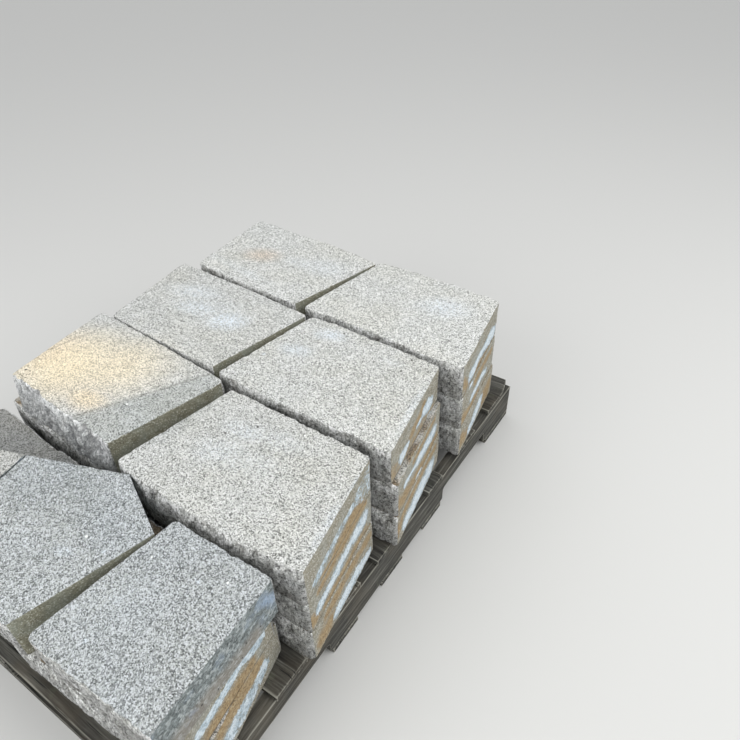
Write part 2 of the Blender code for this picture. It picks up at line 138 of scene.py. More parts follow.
# Lime bloom and ochre slurry left by the mould on the right-hand faces. Each smear is its fullness,
# then its chain of points: distance from the near corner, height above the ground, half its height.
SMEARS = {
    "cap_right_row1_top": {
        "bloom": (
            (0.22, (30, 331, 9), (45, 335, 12), (80, 344, 10), (120, 351, 9), (160, 354, 9), (200, 356, 11)),
            (0.08, (214, 352, 24), (238, 358, 36)),
        ),
        "ochre": ((
            1.0, (52, 314, 6), (100, 317, 9), (125, 322, 18), (150, 321, 16), (185, 328, 22), (212, 324, 19),
        ),),
    },
    "cap_right_row1_middle": {
        "bloom": ((
            1.0, (36, 250, 17), (70, 256, 12), (112, 258, 19), (160, 264, 12), (205, 262, 21), (226, 262, 20),
        ),),
        "ochre": (
            (1.0, (8, 246, 20), (24, 238, 16)),
            (0.7, (40, 295, 9), (120, 297, 10), (235, 300, 9)),
            (0.5, (50, 226, 9), (230, 228, 9)),
        ),
    },
    "cap_right_row1_bottom": {
        "bloom": ((1.0, (95, 145, 18), (130, 147, 20), (190, 146, 20), (238, 140, 13)),),
        "ochre": ((1.0, (36, 152, 26), (66, 154, 24)), (0.6, (60, 192, 14), (150, 196, 14), (240, 190, 14))),
    },
    "cap_right_row2_top": {
        "bloom": (
            (1.0, (56, 336, 17), (75, 336, 16), (92, 340, 9)),
            (0.7, (140, 343, 7), (160, 343, 8)),
            (1.0, (183, 350, 17), (205, 347, 24), (222, 342, 17)),
            (0.7, (203, 312, 5), (222, 312, 5)),
        ),
        "ochre": (
            (0.1, (14, 338, 20), (40, 324, 14), (110, 322, 12), (170, 322, 12), (232, 318, 9)),
            (0.5, (110, 350, 14), (160, 362, 14), (180, 376, 9)),
        ),
    },
    "cap_right_row2_middle": {
        "bloom": (
            (1.0, (42, 275, 11), (60, 273, 9), (85, 271, 7), (130, 266, 16), (180, 262, 18), (220, 258, 19)),
            (0.7, (110, 221, 5), (138, 219, 6)),
        ),
        "ochre": (
            (1.0, (4, 255, 24), (24, 242, 20), (70, 236, 16), (150, 228, 11), (240, 226, 9)),
            (0.5, (90, 292, 8), (220, 295, 9)),
        ),
    },
    "cap_right_row2_bottom": {
        "bloom": ((1.0, (50, 150, 22), (110, 152, 27), (170, 155, 28), (212, 154, 26)),),
        "ochre": ((1.0, (10, 170, 24), (40, 196, 12), (160, 200, 10), (235, 196, 10)),),
    },
    "cap_right_row3_top": {
        "bloom": ((
            0.9, (52, 336, 20), (80, 334, 22), (120, 342, 12), (165, 338, 17), (215, 337, 24), (240, 330, 20),
        ),),
        "ochre": ((1.0, (90, 316, 8), (130, 315, 7), (180, 312, 4)), (1.0, (8, 350, 20), (24, 326, 16))),
    },
    "cap_right_row3_middle": {
        "bloom": (
            (0.8, (78, 252, 13), (115, 254, 11), (160, 256, 14), (195, 246, 11)),
            (0.6, (52, 304, 5), (74, 304, 5)),
        ),
        "ochre": (
            (1.0, (100, 285, 14), (160, 288, 12), (230, 284, 12)),
            (1.0, (20, 236, 20), (60, 226, 14), (140, 224, 9)),
        ),
    },
    "cap_right_row3_bottom": {
        "bloom": ((1.0, (80, 143, 17), (125, 157, 25), (160, 168, 24)),),
        "ochre": ((1.0, (20, 165, 26), (48, 150, 18)), (0.5, (190, 160, 30), (225, 160, 30))),
    },
    "cap_near_right_middle": {
        "bloom": ((
            0.4, (60, 264, 12), (100, 265, 13), (140, 268, 12), (172, 273, 10), (200, 264, 17),
            (222, 262, 19),
        ),),
        "ochre": ((1.0, (82, 231, 18), (130, 231, 22), (190, 232, 17)),),
    },
    "cap_near_right_bottom": {
        "bloom": (
            (0.3, (85, 162, 22), (130, 158, 26), (165, 158, 20)),
            (0.4, (195, 162, 20), (207, 165, 18)),
        ),
        "ochre": ((1.0, (75, 204, 18), (130, 200, 24), (170, 198, 24), (192, 196, 18)),),
    },
    "cap_left_row1_middle": {
        "bloom": ((0.5, (70, 292, 9), (120, 290, 11), (165, 294, 8)),),
        "ochre": ((0.5, (30, 240, 20), (200, 240, 20)),),
    },
    "cap_near_middle_top": {"bloom": (), "ochre": ()},
    "cap_near_right_top": {
        "bloom": (
            (0.55, (238, 373, 12), (250, 358, 17)),
            (0.0, (226, 382, 12), (240, 368, 24), (250, 345, 26)),
        ),
        "ochre": ((0.8, (20, 325, 22), (120, 325, 22), (200, 322, 18)),),
    },
    "cap_left_row1_top": {"bloom": ((0.25, (92, 318, 7), (120, 316, 9), (150, 318, 7)),), "ochre": ()},
    "cap_left_row2_top": {"bloom": (), "ochre": ()},
    "cap_left_row3_top": {"bloom": (), "ochre": ()},
}

# How bright each bed shows against the usual one: its own tone, and painted shade on the near left middle
# stone, whose bed lies sunk between the stones above.
BED_TONES_AND_SHADE = {
    "cap_right_row1_top": 0.98,
    "cap_right_row2_top": 1.04,
    "cap_right_row3_top": 1.1,
    "cap_left_row2_top": 1.02,
    "cap_left_row3_top": 1.1,
    # Painted shade: this sunken bed is darkened to about half.
    "cap_near_left_middle": 0.52,
    "cap_near_left_top": 0.83,
    "cap_near_right_top": 0.93,
    "cap_near_middle_top": 0.97,
}

# Pale bloom on the tops: middle in x and y, two half sizes, turn in degrees, strength.
TOP_BLOOM = (
    (-50, 138, 58, 42, 20, 1.4), (-150, 142, 80, 40, 10, 0.9), (-205, 186, 90, 40, 8, 0.7),
    (-100, 150, 110, 60, 5, 0.5), (189, 221, 44, 24, 15, 1.0), (156, 136, 42, 24, 15, 0.8),
    (235, -114, 60, 26, 10, 0.55), (471, 110, 10, 80, 9.9, 0.55), (488, -105, 9, 34, 9.9, 0.9),
    (493, -186, 11, 34, 9.9, 0.6), (501, -236, 10, 26, 9.9, 0.45), (228, -177, 60, 36, 30, 0.5),
    (310, -97, 54, 28, 0, 0.4), (290, -170, 90, 40, 20, 0.3), (358, 454, 72, 48, 10, 0.8),
    (3, 452, 66, 42, 0, 0.5), (-60, 440, 60, 30, 0, 0.4), (-185, 330, 130, 20, -8, 0.35),
    (170, -471, 22, 10, 20, 0.8), (225, -437, 5, 5, 0, 1.0), (392, -393, 5, 4, 0, 1.0),
    (326, -547, 5, 5, 0, 1.0), (106, 88, 6, 5, 0, 1.0), (367, 215, 40, 14, 0, 0.3),
    (300, -500, 90, 60, 40, 0.2), (268, -523, 16, 12, 0, 0.5), (310, -483, 18, 12, 20, 0.5),
)

# Small dark marks on the tops, told in the same way.
TOP_MARKS = (
    (428, 345, 5, 4, 0, 1.0), (424, 337, 7, 3, 30, 0.8), (452, 333, 6, 4, 30, 1.0), (357, 481, 5, 4, 0, 0.9),
    (340, 60, 6, 4, 0, 0.5),
)

# The number that marks each kind of face, its steps along a cap's side, and the radius of its arris.
KINDS = {"bed": 0, "split": 1, "moulded": 2, "sawn": 3}
STEP = {"split": 3.3, "moulded": 6.5, "sawn": 6.5}
ARRIS = {"split": 2.6, "moulded": 2.2, "sawn": 1.0}

# Rings over a cap's flat faces: how far out from its middle, and how far the breaking reaches there.
FLAT_RINGS = ((0.975, 0.85), (0.94, 0.6), (0.88, 0.25), (0.76, 0.0))

# The nodes and settings that the finishes and shapes use most.
MATH = "ShaderNodeMath"
VECTOR = "ShaderNodeVectorMath"
RANGE = "ShaderNodeMapRange"
NOISE = "ShaderNodeTexNoise"
RAMP = "ShaderNodeValToRGB"
MIX = "ShaderNodeMix"
MAPPING = "ShaderNodeMapping"
STORED = "ShaderNodeAttribute"
NAMED = "GeometryNodeInputNamedAttribute"
COVER = {"data_type": "RGBA"}
TINT = {"data_type": "RGBA", "blend_type": "MULTIPLY"}
SMOOTH = {"interpolation_type": "SMOOTHSTEP"}
TIMES = {"operation": "MULTIPLY"}
TIMES_PLUS = {"operation": "MULTIPLY_ADD"}
SCALED = {"operation": "SCALE"}


def linear(code):
    """An sRGB hex colour as linear red, green, blue and alpha."""
    found = []
    for place in (1, 3, 5):
        value = int(code[place : place + 2], 16) / 255.0
        found.append(value / 12.92 if value <= 0.04045 else ((value + 0.055) / 1.055) ** 2.4)
    return (*found, 1.0)


def per(size_mm):
    """The pattern scale whose features are about this many millimetres across."""
    return 1.0 / (size_mm * MM)


def add(tree, kind, inputs=None, give=None, stops=(), **settings):
    """Adds one node with its settings and links. Returns the output named, or the first one in use."""
    node = tree.nodes.new(kind)
    for key, value in settings.items():
        setattr(node, key, value)
    for key, value in (inputs or {}).items():
        if isinstance(value, bpy.types.NodeSocket):
            tree.links.new(value, node.inputs[key])
        else:
            is_colour = isinstance(value, str) and value.startswith("#")
            node.inputs[key].default_value = linear(value) if is_colour else value
    for number, (place, code) in enumerate(stops):
        line = node.color_ramp.elements
        element = line[number] if number < 2 else line.new(place)
        element.position = place
        element.color = linear(code)
    if give == "node":
        return node
    if give is not None:
        return node.outputs[give]
    return next((output for output in node.outputs if output.enabled), None)


def start_finish(name, roughness):
    """A new material with its shader, and the Object coordinates that its patterns read."""
    made = bpy.data.materials.new(name)
    made.use_nodes = True
    tree = made.node_tree
    shader = tree.nodes["Principled BSDF"]
    shader.inputs["Roughness"].default_value = roughness
    return made, tree, shader, add(tree, "ShaderNodeTexCoord", give="Object")


def end_finish(tree, shader, colour, height, strength, distance):
    """Joins the colour, and relief of the given height, to the shader."""
    tree.links.new(colour, shader.inputs["Base Color"])
    relief = add(tree, "ShaderNodeBump", {"Height": height, "Strength": strength, "Distance": distance})
    tree.links.new(relief, shader.inputs["Normal"])


def grit(tree, at, size_mm):
    """Grains of a size: two random values for each grain, and the distance from its middle."""
    grains = add(tree, "ShaderNodeTexVoronoi", {"Vector": at, "Scale": per(size_mm)}, give="node")
    parts = add(tree, "ShaderNodeSeparateColor", {0: grains.outputs["Color"]}, give="node")
    return parts.outputs[0], parts.outputs[1], grains.outputs["Distance"]


def frayed(tree, name, noise, share):
    """A measure stored on the mesh, frayed by a share of a noise."""
    stored = add(tree, STORED, give="Fac", attribute_name=name)
    return plus_shares(tree, stored, ((noise, share),))


def stain(tree, colour, code, field, start, end, most=1.0, mix=COVER):
    """Lays one colour over another, from none of it where a field is at its start to the most at its end."""
    much = add(tree, RANGE, {"Value": field, "From Min": start, "From Max": end, "To Max": most})
    return add(tree, MIX, {0: much, 6: colour, 7: code}, **mix)


def plus_shares(tree, field, parts):
    """A field with a share of each of several others added to it."""
    for other, share in parts:
        field = add(tree, MATH, {0: other, 1: share, 2: field}, **TIMES_PLUS)
    return field


def open_pits(tree, at, spacing_mm, wide, share):
    """Round air holes: a share of the cells of a size hold one, whose half width is a part of the cell."""
    _, pick, away = grit(tree, at, spacing_mm)
    hole = add(tree, RANGE, {"Value": away, "From Min": wide, "From Max": wide * 0.6}, **SMOOTH)
    chosen = add(tree, MATH, {0: pick, 1: share}, operation="LESS_THAN")
    return add(tree, MATH, {0: hole, 1: chosen}, **TIMES)


def lime_clouds(tree, at, places):
    """The strongest of several soft oval clouds of lime on the flat tops."""
    found = None
    for x, y, half_x, half_y, turn, strength in places:
        local = add(tree, MAPPING, {
            "Vector": at,
            "Location": (x * MM, y * MM, 0.4),
            "Rotation": (0.0, 0.0, math.radians(turn)),
            "Scale": (half_x * MM, half_y * MM, 0.2),
        }, vector_type="TEXTURE")
        away = add(tree, VECTOR, {0: local}, give="Value", operation="LENGTH")
        cloud = add(tree, RANGE, {
            "Value": away, "From Min": 1.35, "From Max": 0.1, "To Max": strength,
        }, **SMOOTH)
        if found is None:
            found = cloud
        else:
            found = add(tree, MATH, {0: found, 1: cloud}, operation="MAXIMUM")
    return found


def beyond_line(tree, at, place, outward, soft_mm):
    """How far a point of a top lies beyond a straight line: 0 before it, 1 past it, over a soft width."""
    local = add(tree, VECTOR, {0: at, 1: (place[0] * MM, place[1] * MM, 0.0)}, operation="SUBTRACT")
    size = math.hypot(*outward)
    inputs = {0: local, 1: (outward[0] / size, outward[1] / size, 0.0)}
    away = add(tree, VECTOR, inputs, give="Value", operation="DOT_PRODUCT")
    return add(tree, RANGE, {"Value": away, "From Min": -soft_mm * MM, "From Max": soft_mm * MM}, **SMOOTH)


def cream_wash(tree, at, colour):
    """Cream lime wash over the near stone of the left column. It ends at a faint line, grey beyond."""
    near_left_bed = lime_clouds(tree, at, ((-130, -140, 260, 190, 0, 1.0),))
    inside = add(tree, RANGE, {"Value": near_left_bed, "From Min": 0.12, "From Max": 0.3})
    cream = lime_clouds(tree, at, (
        (-240, -165, 160, 130, 20, 1.0), (-150, -130, 150, 110, 35, 0.8), (-110, -215, 70, 40, 0, 0.75),
    ))
    past = beyond_line(tree, at, (-37, -187), (222, -126), 16)
    before = add(tree, MATH, {0: 1.0, 1: past}, operation="SUBTRACT")
    cream = add(tree, MATH, {0: cream, 1: before}, **TIMES)
    lift = add(tree, MATH, {0: cream, 1: 0.42, 2: 1.0}, **TIMES_PLUS)
    colour = add(tree, VECTOR, {0: colour, "Scale": lift}, **SCALED)
    colour = add(tree, MIX, {0: cream, 6: colour, 7: "#FFF0D6"}, **TINT)
    thin = add(tree, MATH, {0: cream, 1: 0.25}, **TIMES)
    colour = add(tree, MIX, {0: thin, 6: colour, 7: "#FFEFCD"}, **COVER)
    peach = lime_clouds(tree, at, (
        (-105, -222, 90, 50, 0, 0.12), (-300, -150, 40, 90, 0, 0.12), (-185, 416, 60, 40, 20, 0.4),
    ))
    colour = add(tree, MIX, {0: peach, 6: colour, 7: "#FFDFBE"}, **TINT)
    faded = add(tree, MATH, {0: past, 1: inside}, **TIMES)
    faded = add(tree, MATH, {0: faded, 1: 0.65}, **TIMES)
    colour = add(tree, MIX, {0: faded, 6: colour, 7: "#DADFE1"}, **TINT)
    for place, outward, strength in (((-37, -187), (222, -126), 0.5), ((-297, -95), (-163, 47), 0.45)):
        over = beyond_line(tree, at, place, outward, 5)
        back = add(tree, MATH, {0: 1.0, 1: over}, operation="SUBTRACT")
        line = add(tree, MATH, {0: over, 1: back}, **TIMES)
        line = add(tree, MATH, {0: line, 1: inside}, **TIMES)
        line = add(tree, MATH, {0: line, 1: 4.0 * strength}, **TIMES, use_clamp=True)
        colour = add(tree, MIX, {0: line, 6: colour, 7: "#B3B1AB"}, **TINT)
    return colour


def other_batch(tree, at, colour, pick):
    """The stones cut to fit are from another batch: cooler, with black grit among white."""
    # A damp bluish patch over the far end of the cut stone in the middle.
    damp = lime_clouds(tree, at, ((90, -375, 190, 50, -14, 0.3), (20, -420, 110, 50, 0, 0.2)))
    cool = add(tree, STORED, give="Fac", attribute_name="coolness")
    damp = add(tree, MATH, {0: damp, 1: cool}, **TIMES)
    colour = add(tree, MIX, {0: damp, 6: colour, 7: "#B9C2C8"}, **TINT)
    black = add(tree, RANGE, {"Value": pick, "From Min": 0.76, "From Max": 0.80, "To Max": 0.5})
    black = add(tree, MATH, {0: black, 1: cool}, **TIMES)
    colour = add(tree, MIX, {0: black, 6: colour, 7: "#56585A"}, **COVER)
    white = add(tree, RANGE, {"Value": pick, "From Min": 0.16, "From Max": 0.12, "To Max": 0.6})
    white = add(tree, MATH, {0: white, 1: cool}, **TIMES)
    colour = add(tree, MIX, {0: white, 6: colour, 7: "#FFFFFF"}, **COVER)
    colder = add(tree, MATH, {0: cool, 1: 0.9}, **TIMES)
    colour = add(tree, MIX, {0: colder, 6: colour, 7: "#E4E9EE"}, **TINT)
    return colour


def make_bed():
    """Dry-cast concrete as it lay in the machine. To the eye it is matt, open and salt and pepper."""
    made, tree, shader, at = start_finish("dry_cast_concrete_bed", 0.93)
    drift = add(tree, NOISE, {"Vector": at, "Scale": per(120), "Detail": 4.0})
    mottle = add(tree, NOISE, {"Vector": at, "Scale": per(24), "Detail": 5.0, "Roughness": 0.65})
    # Grit of 1 to 3 mm.
    pick, pick_two, away = grit(tree, at, 2.0)
    fine_pick, _, fine_away = grit(tree, at, 1.2)
    grains = add(tree, RAMP, {"Fac": pick}, stops=(
        (0.0, "#121311"), (0.13, "#5A5C57"), (0.29, "#B4B6B2"), (0.53, "#E8EAE5"), (0.70, "#FEFFFC"),
        (0.78, "#FFFFFF"),
    ))
    sand = add(tree, RAMP, {"Fac": fine_pick}, stops=(
        (0.0, "#40423E"), (0.25, "#AFB1AC"), (0.56, "#E6E8E3"), (0.85, "#FFFFFF"),
    ))
    colour = add(tree, MIX, {0: 0.34, 6: grains, 7: sand}, **COVER)
    # The dark between packed grains.
    colour = stain(tree, colour, "#9FA09C", away, 0.35, 0.75, 0.5, TINT)
    colour = stain(tree, colour, "#FAF6EA", drift, 0.40, 0.68, 0.3, TINT)
    colour = stain(tree, colour, "#DDDEDB", mottle, 0.6, 0.35, 0.35, TINT)
    colour = cream_wash(tree, at, colour)
    colour = other_batch(tree, at, colour, pick_two)
    # Brown dirt on the ledges where a lower stone shows its bed.
    dirt = frayed(tree, "ochre", mottle, 1.2)
    colour = stain(tree, colour, "#B3A28D", dirt, 1.1, 1.8, mix=TINT)
    # Each bed's own tone, and painted shade on the sunken bed of the near left middle stone.
    tone = add(tree, STORED, give="Fac", attribute_name="tone")
    colour = add(tree, VECTOR, {0: colour, "Scale": tone}, **SCALED)
    # Lime bloom, patchy and bluish white.
    patchy = add(tree, NOISE, {"Vector": at, "Scale": per(3.4), "Detail": 4.0, "Roughness": 0.75})
    patchy = add(tree, RANGE, {
        "Value": patchy, "From Min": 0.44, "From Max": 0.56, "To Min": 0.15, "To Max": 0.85,
    })
    bloom = add(tree, MATH, {0: lime_clouds(tree, at, TOP_BLOOM), 1: patchy}, **TIMES)
    by_grain = add(tree, RANGE, {"Value": pick, "From Min": 0.25, "From Max": 0.5, "To Min": 0.5})
    bloom = add(tree, MATH, {0: bloom, 1: by_grain}, **TIMES)
    colour = add(tree, MIX, {0: bloom, 6: colour, 7: "#E9F2FA"}, **COVER)
    marks = add(tree, MATH, {0: lime_clouds(tree, at, TOP_MARKS), 1: 0.8}, **TIMES)
    colour = add(tree, MIX, {0: marks, 6: colour, 7: "#77757A"}, **TINT)
    # A few broad white pebbles and open pits.
    pebbles = open_pits(tree, at, 31, 0.10, 0.10)
    colour = add(tree, MIX, {0: pebbles, 6: colour, 7: "#F7F8F6"}, **COVER)
    pits = open_pits(tree, at, 47, 0.07, 0.22)
    colour = add(tree, MIX, {0: pits, 6: colour, 7: "#5A5A55"}, **COVER)
    height = plus_shares(tree, mottle, ((away, -0.8), (fine_away, -0.4), (pits, -2.0)))
    end_finish(tree, shader, colour, height, 0.6, 0.0014)
    return made


def make_split():
    """Concrete broken in a splitter. It shows torn grit and whole stones. Its hollows and foot are darkened
    as painted shade with some dirt, so what stands proud shows lighter, and its upper arris has a painted
    highlight.
    """
    made, tree, shader, at = start_finish("split_face_concrete", 0.95)
    broad = add(tree, NOISE, {"Vector": at, "Scale": per(34), "Detail": 5.0, "Roughness": 0.62})
    fray = add(tree, NOISE, {"Vector": at, "Scale": per(4), "Detail": 6.0, "Roughness": 0.75})
    # The break tore the grit along slanting lines.
    torn = add(tree, MAPPING, {"Vector": at, "Rotation": (0.0, 0.75, 0.0), "Scale": (1.2, 1.0, 0.5)})
    pick, _, away = grit(tree, torn, 4.4)
    fine_pick, _, fine_away = grit(tree, at, 2.7)
    stones = add(tree, RAMP, {"Fac": pick}, stops=(
        (0.0, "#434340"), (0.24, "#9C9D98"), (0.58, "#D9DAD8"), (0.80, "#FFFFFF"),
    ))
    grains = add(tree, RAMP, {"Fac": fine_pick}, stops=(
        (0.0, "#242422"), (0.22, "#919290"), (0.58, "#DADBDA"), (0.80, "#FFFFFF"),
    ))
    colour = add(tree, MIX, {0: 0.5, 6: stones, 7: grains}, **COVER)
    shade = add(tree, RAMP, {"Fac": broad}, stops=((0.32, "#B5B2AC"), (0.48, "#F0F1EE"), (0.60, "#FFFFFF")))
    colour = add(tree, MIX, {0: 0.7, 6: colour, 7: shade}, **TINT)
    # Painted shade with some dirt: the hollows of the relief are darkened, so what stands proud shows
    # lighter.
    hollow = add(tree, STORED, give="Fac", attribute_name="hollow")
    colour = stain(tree, colour, "#75726D", hollow, -0.001, 0.005, 0.85, TINT)
    # Painted shade with some dirt: the face darkens towards its foot.
    rise = frayed(tree, "rise", broad, 0.5)
    colour = stain(tree, colour, "#8A857C", rise, 0.85, 0.25, 0.4, TINT)
    # The upper arris is worn round, and the top of the face is lightened there, up to 1.6 times, as a painted
    # highlight.
    crown = frayed(tree, "rise", fray, 0.2)
    crown = add(tree, RANGE, {
        "Value": crown, "From Min": 0.78, "From Max": 1.10, "To Min": 0.94, "To Max": 1.6,
    }, **SMOOTH)
    colour = add(tree, VECTOR, {0: colour, "Scale": crown}, **SCALED)
    dusty = frayed(tree, "bloom", fray, 1.0)
    dusty = add(tree, RANGE, {"Value": dusty, "From Min": 0.3, "From Max": 1.1})
    lift = add(tree, MATH, {0: dusty, 1: 0.6, 2: 1.0}, **TIMES_PLUS)
    colour = add(tree, VECTOR, {0: colour, "Scale": lift}, **SCALED)
    film = add(tree, MATH, {0: dusty, 1: 0.25}, **TIMES)
    colour = add(tree, MIX, {0: film, 6: colour, 7: "#D9DEE6"}, **COVER)
    height = plus_shares(tree, fray, ((away, -0.6), (fine_away, -0.5)))
    end_finish(tree, shader, colour, height, 1.0, 0.0042)
    return made


def make_moulded():
    """Concrete drawn up the mould's steel. It is closed, sandy and dragged, with lime bloom and slurry."""
    made, tree, shader, at = start_finish("mould_drawn_concrete", 0.9)
    drawn = add(tree, MAPPING, {"Vector": at, "Scale": (0.6, 0.3, 1.0)})
    drag = add(tree, NOISE, {"Vector": drawn, "Scale": per(9), "Detail": 4.0, "Roughness": 0.6})
    broad = add(tree, NOISE, {"Vector": at, "Scale": per(55), "Detail": 4.0, "Roughness": 0.55})
    ragged = add(tree, NOISE, {"Vector": at, "Scale": per(6), "Detail": 5.0, "Roughness": 0.7})
    wander = add(tree, NOISE, {"Vector": at, "Scale": per(20), "Detail": 5.0, "Roughness": 0.7})
    pick, pick_two, away = grit(tree, at, 2.0)
    sand = add(tree, RAMP, {"Fac": drag}, stops=(
        (0.28, "#6E6757"), (0.45, "#87816F"), (0.60, "#9A9584"), (0.75, "#AFADA0"),
    ))
    grains = add(tree, RAMP, {"Fac": pick}, stops=(
        (0.0, "#403C34"), (0.22, "#807B6D"), (0.8, "#A5A294"), (0.94, "#EAE9E4"),
    ))
    colour = add(tree, MIX, {0: 0.55, 6: sand, 7: grains}, **COVER)
    colour = stain(tree, colour, "#9DA29D", broad, 0.44, 0.62, 0.4)
    # Painted shade: the sides that face into the gap between the columns get a cooler, darker cast.
    olive = add(tree, STORED, give="Fac", attribute_name="olive")
    colour = add(tree, MIX, {0: olive, 6: colour, 7: "#EFF3EC"}, **TINT)
    # Ochre slurry that ran down the steel.
    ochre = plus_shares(tree, frayed(tree, "ochre", drag, 1.3), ((wander, 1.5),))
    ochre = add(tree, RANGE, {"Value": ochre, "From Min": 0.95, "From Max": 2.0, "To Max": 0.9}, **SMOOTH)
    slurry = add(tree, RAMP, {"Fac": ragged}, stops=((0.30, "#7F6848"), (0.50, "#A8926D"), (0.70, "#C2B394")))
    specks = add(tree, RAMP, {"Fac": pick_two}, stops=((0.0, "#77664E"), (0.2, "#E8DDCB"), (1.0, "#FFFFFF")))
    slurry = add(tree, MIX, {0: 0.8, 6: slurry, 7: specks}, **TINT)
    colour = add(tree, MIX, {0: ochre, 6: colour, 7: slurry}, **COVER)
    # Painted contact shadow: the side is darkened at its foot, where the stone meets the layer below.
    contact_shadow = frayed(tree, "rise", ragged, -0.10)
    colour = stain(tree, colour, "#5F5348", contact_shadow, 0.01, -0.04, 0.85, TINT)
    # Lime bloom, chalky and bluish white with a ragged edge.
    full = add(tree, STORED, give="Fac", attribute_name="bloom")
    bloom = plus_shares(tree, full, ((ragged, 1.3), (wander, 1.1)))
    bloom = add(tree, RANGE, {"Value": bloom, "From Min": 1.16, "From Max": 1.44, "To Max": 0.92}, **SMOOTH)
    chalk = plus_shares(tree, wander, ((full, 0.35), (ragged, 0.8)))
    chalk = add(tree, MATH, {0: chalk, 1: 0.11}, operation="SUBTRACT")
    chalk = add(tree, RAMP, {"Fac": chalk}, stops=((0.62, "#7C919C"), (0.82, "#A9BCC8"), (0.99, "#E0EBF2")))
    specks = add(tree, RAMP, {"Fac": pick_two}, stops=((0.0, "#7F8385"), (0.18, "#F0F2F3"), (1.0, "#FFFFFF")))
    chalk = add(tree, MIX, {0: 0.8, 6: chalk, 7: specks}, **TINT)
    colour = add(tree, MIX, {0: bloom, 6: colour, 7: chalk}, **COVER)
    height = plus_shares(tree, drag, ((away, -0.5), (bloom, 0.35)))
    end_finish(tree, shader, colour, height, 0.5, 0.0012)
    return made


def make_sawn():
    """Concrete cut with a wet saw. It is flat, with the grit cut through, dried slurry and open pits."""
    made, tree, shader, at = start_finish("sawn_concrete", 0.82)
    broad = add(tree, NOISE, {"Vector": at, "Scale": per(70), "Detail": 4.0})
    pick, _, _ = grit(tree, at, 5.5)
    fine_pick, _, fine_away = grit(tree, at, 2.2)
    cut = add(tree, RAMP, {"Fac": pick}, stops=(
        (0.0, "#333736"), (0.35, "#5B6261"), (0.7, "#7D8584"), (0.93, "#C4CACA"),
    ))
    paste = add(tree, RAMP, {"Fac": fine_pick}, stops=((0.0, "#454B4B"), (0.4, "#6B7373"), (1.0, "#9CA5A6")))
    colour = add(tree, MIX, {0: 0.55, 6: cut, 7: paste}, **COVER)
    tan = frayed(tree, "ochre", broad, 1.4)
    colour = stain(tree, colour, "#8E8579", tan, 0.2, 1.3, 0.6)
    slurry = add(tree, NOISE, {"Vector": at, "Scale": per(34), "Detail": 3.0})
    slurry = add(tree, RANGE, {"Value": slurry, "From Min": 0.60, "From Max": 0.74, "To Max": 0.4})
    lime = frayed(tree, "bloom", broad, 1.2)
    lime = add(tree, RANGE, {"Value": lime, "From Min": 0.3, "From Max": 1.1, "To Max": 0.85})
    slurry = add(tree, MATH, {0: slurry, 1: lime}, operation="MAXIMUM")
    mottle = add(tree, NOISE, {"Vector": at, "Scale": per(4), "Detail": 5.0, "Roughness": 0.75})
    mottle = add(tree, RANGE, {"Value": mottle, "From Min": 0.40, "From Max": 0.56, "To Min": 0.45})
    slurry = add(tree, MATH, {0: slurry, 1: mottle}, **TIMES)
    colour = add(tree, MIX, {0: slurry, 6: colour, 7: "#9DB1CA"}, **COVER)
    # Short pale scratches along the cut.
    drawn = add(tree, MAPPING, {"Vector": at, "Scale": (1.0, 0.12, 1.0)})
    scratch = add(tree, NOISE, {"Vector": drawn, "Scale": per(1.6), "Detail": 3.0, "Roughness": 0.6})
    colour = stain(tree, colour, "#C6CDCF", scratch, 0.58, 0.70, 0.85)
    pits = open_pits(tree, at, 17, 0.16, 0.35)
    colour = add(tree, MIX, {0: pits, 6: colour, 7: "#3B3A37"}, **COVER)
    height = plus_shares(tree, 0.0, ((fine_away, -0.4), (pits, -3.0)))
    end_finish(tree, shader, colour, height, 0.5, 0.0014)
    return made


def make_wood(name, slow):
    """Softwood left out for years. It is silvered, dark in the grain, split along it and pale where worn."""
    made, tree, shader, at = start_finish(name, 0.88)
    along = add(tree, MAPPING, {"Vector": at, "Scale": slow})
    rings = add(tree, NOISE, {
        "Vector": along, "Scale": per(9), "Detail": 5.0, "Roughness": 0.65, "Distortion": 0.4,
    })
    fibres = add(tree, NOISE, {"Vector": along, "Scale": per(2.2), "Detail": 3.0, "Roughness": 0.6})
    broad = add(tree, NOISE, {"Vector": at, "Scale": per(110), "Detail": 3.0})
    colour = add(tree, RAMP, {"Fac": rings}, stops=(
        (0.28, "#252422"), (0.44, "#454440"), (0.58, "#6A6A65"), (0.74, "#9C9C95"),
    ))
    thread = add(tree, RAMP, {"Fac": fibres}, stops=((0.25, "#6E6A64"), (0.6, "#D9D6CF"), (0.8, "#FFFFFF")))
    colour = add(tree, MIX, {0: 0.75, 6: colour, 7: thread}, **TINT)
    colour = stain(tree, colour, "#5E5648", broad, 0.45, 0.7, 0.5)
    # Pale wood where the arrises are rubbed.
    worn = frayed(tree, "arris", rings, 0.9)
    colour = stain(tree, colour, "#B4B2A6", worn, 0.95, 1.45, 0.75)
    algae = add(tree, NOISE, {"Vector": at, "Scale": per(38), "Detail": 4.0, "Roughness": 0.6})
    colour = stain(tree, colour, "#6F7560", algae, 0.60, 0.74, 0.3)
    splits = add(tree, NOISE, {"Vector": along, "Scale": per(5.5), "Detail": 2.0, "Roughness": 0.4})
    splits = add(tree, RANGE, {"Value": splits, "From Min": 0.36, "From Max": 0.31, "To Max": 0.85})
    colour = add(tree, MIX, {0: splits, 6: colour, 7: "#171513"}, **COVER)
    height = plus_shares(tree, rings, ((fibres, 0.5),))
    height = add(tree, MATH, {0: height, 1: splits}, operation="SUBTRACT")
    end_finish(tree, shader, colour, height, 0.8, 0.0018)
    return made


BED = make_bed()
SPLIT = make_split()
MOULDED = make_moulded()
SAWN = make_sawn()
BOARD_WOOD = make_wood("weathered_softwood_boards", (0.05, 1.0, 1.0))
STRINGER_WOOD = make_wood("weathered_softwood_stringers", (1.0, 0.05, 1.0))


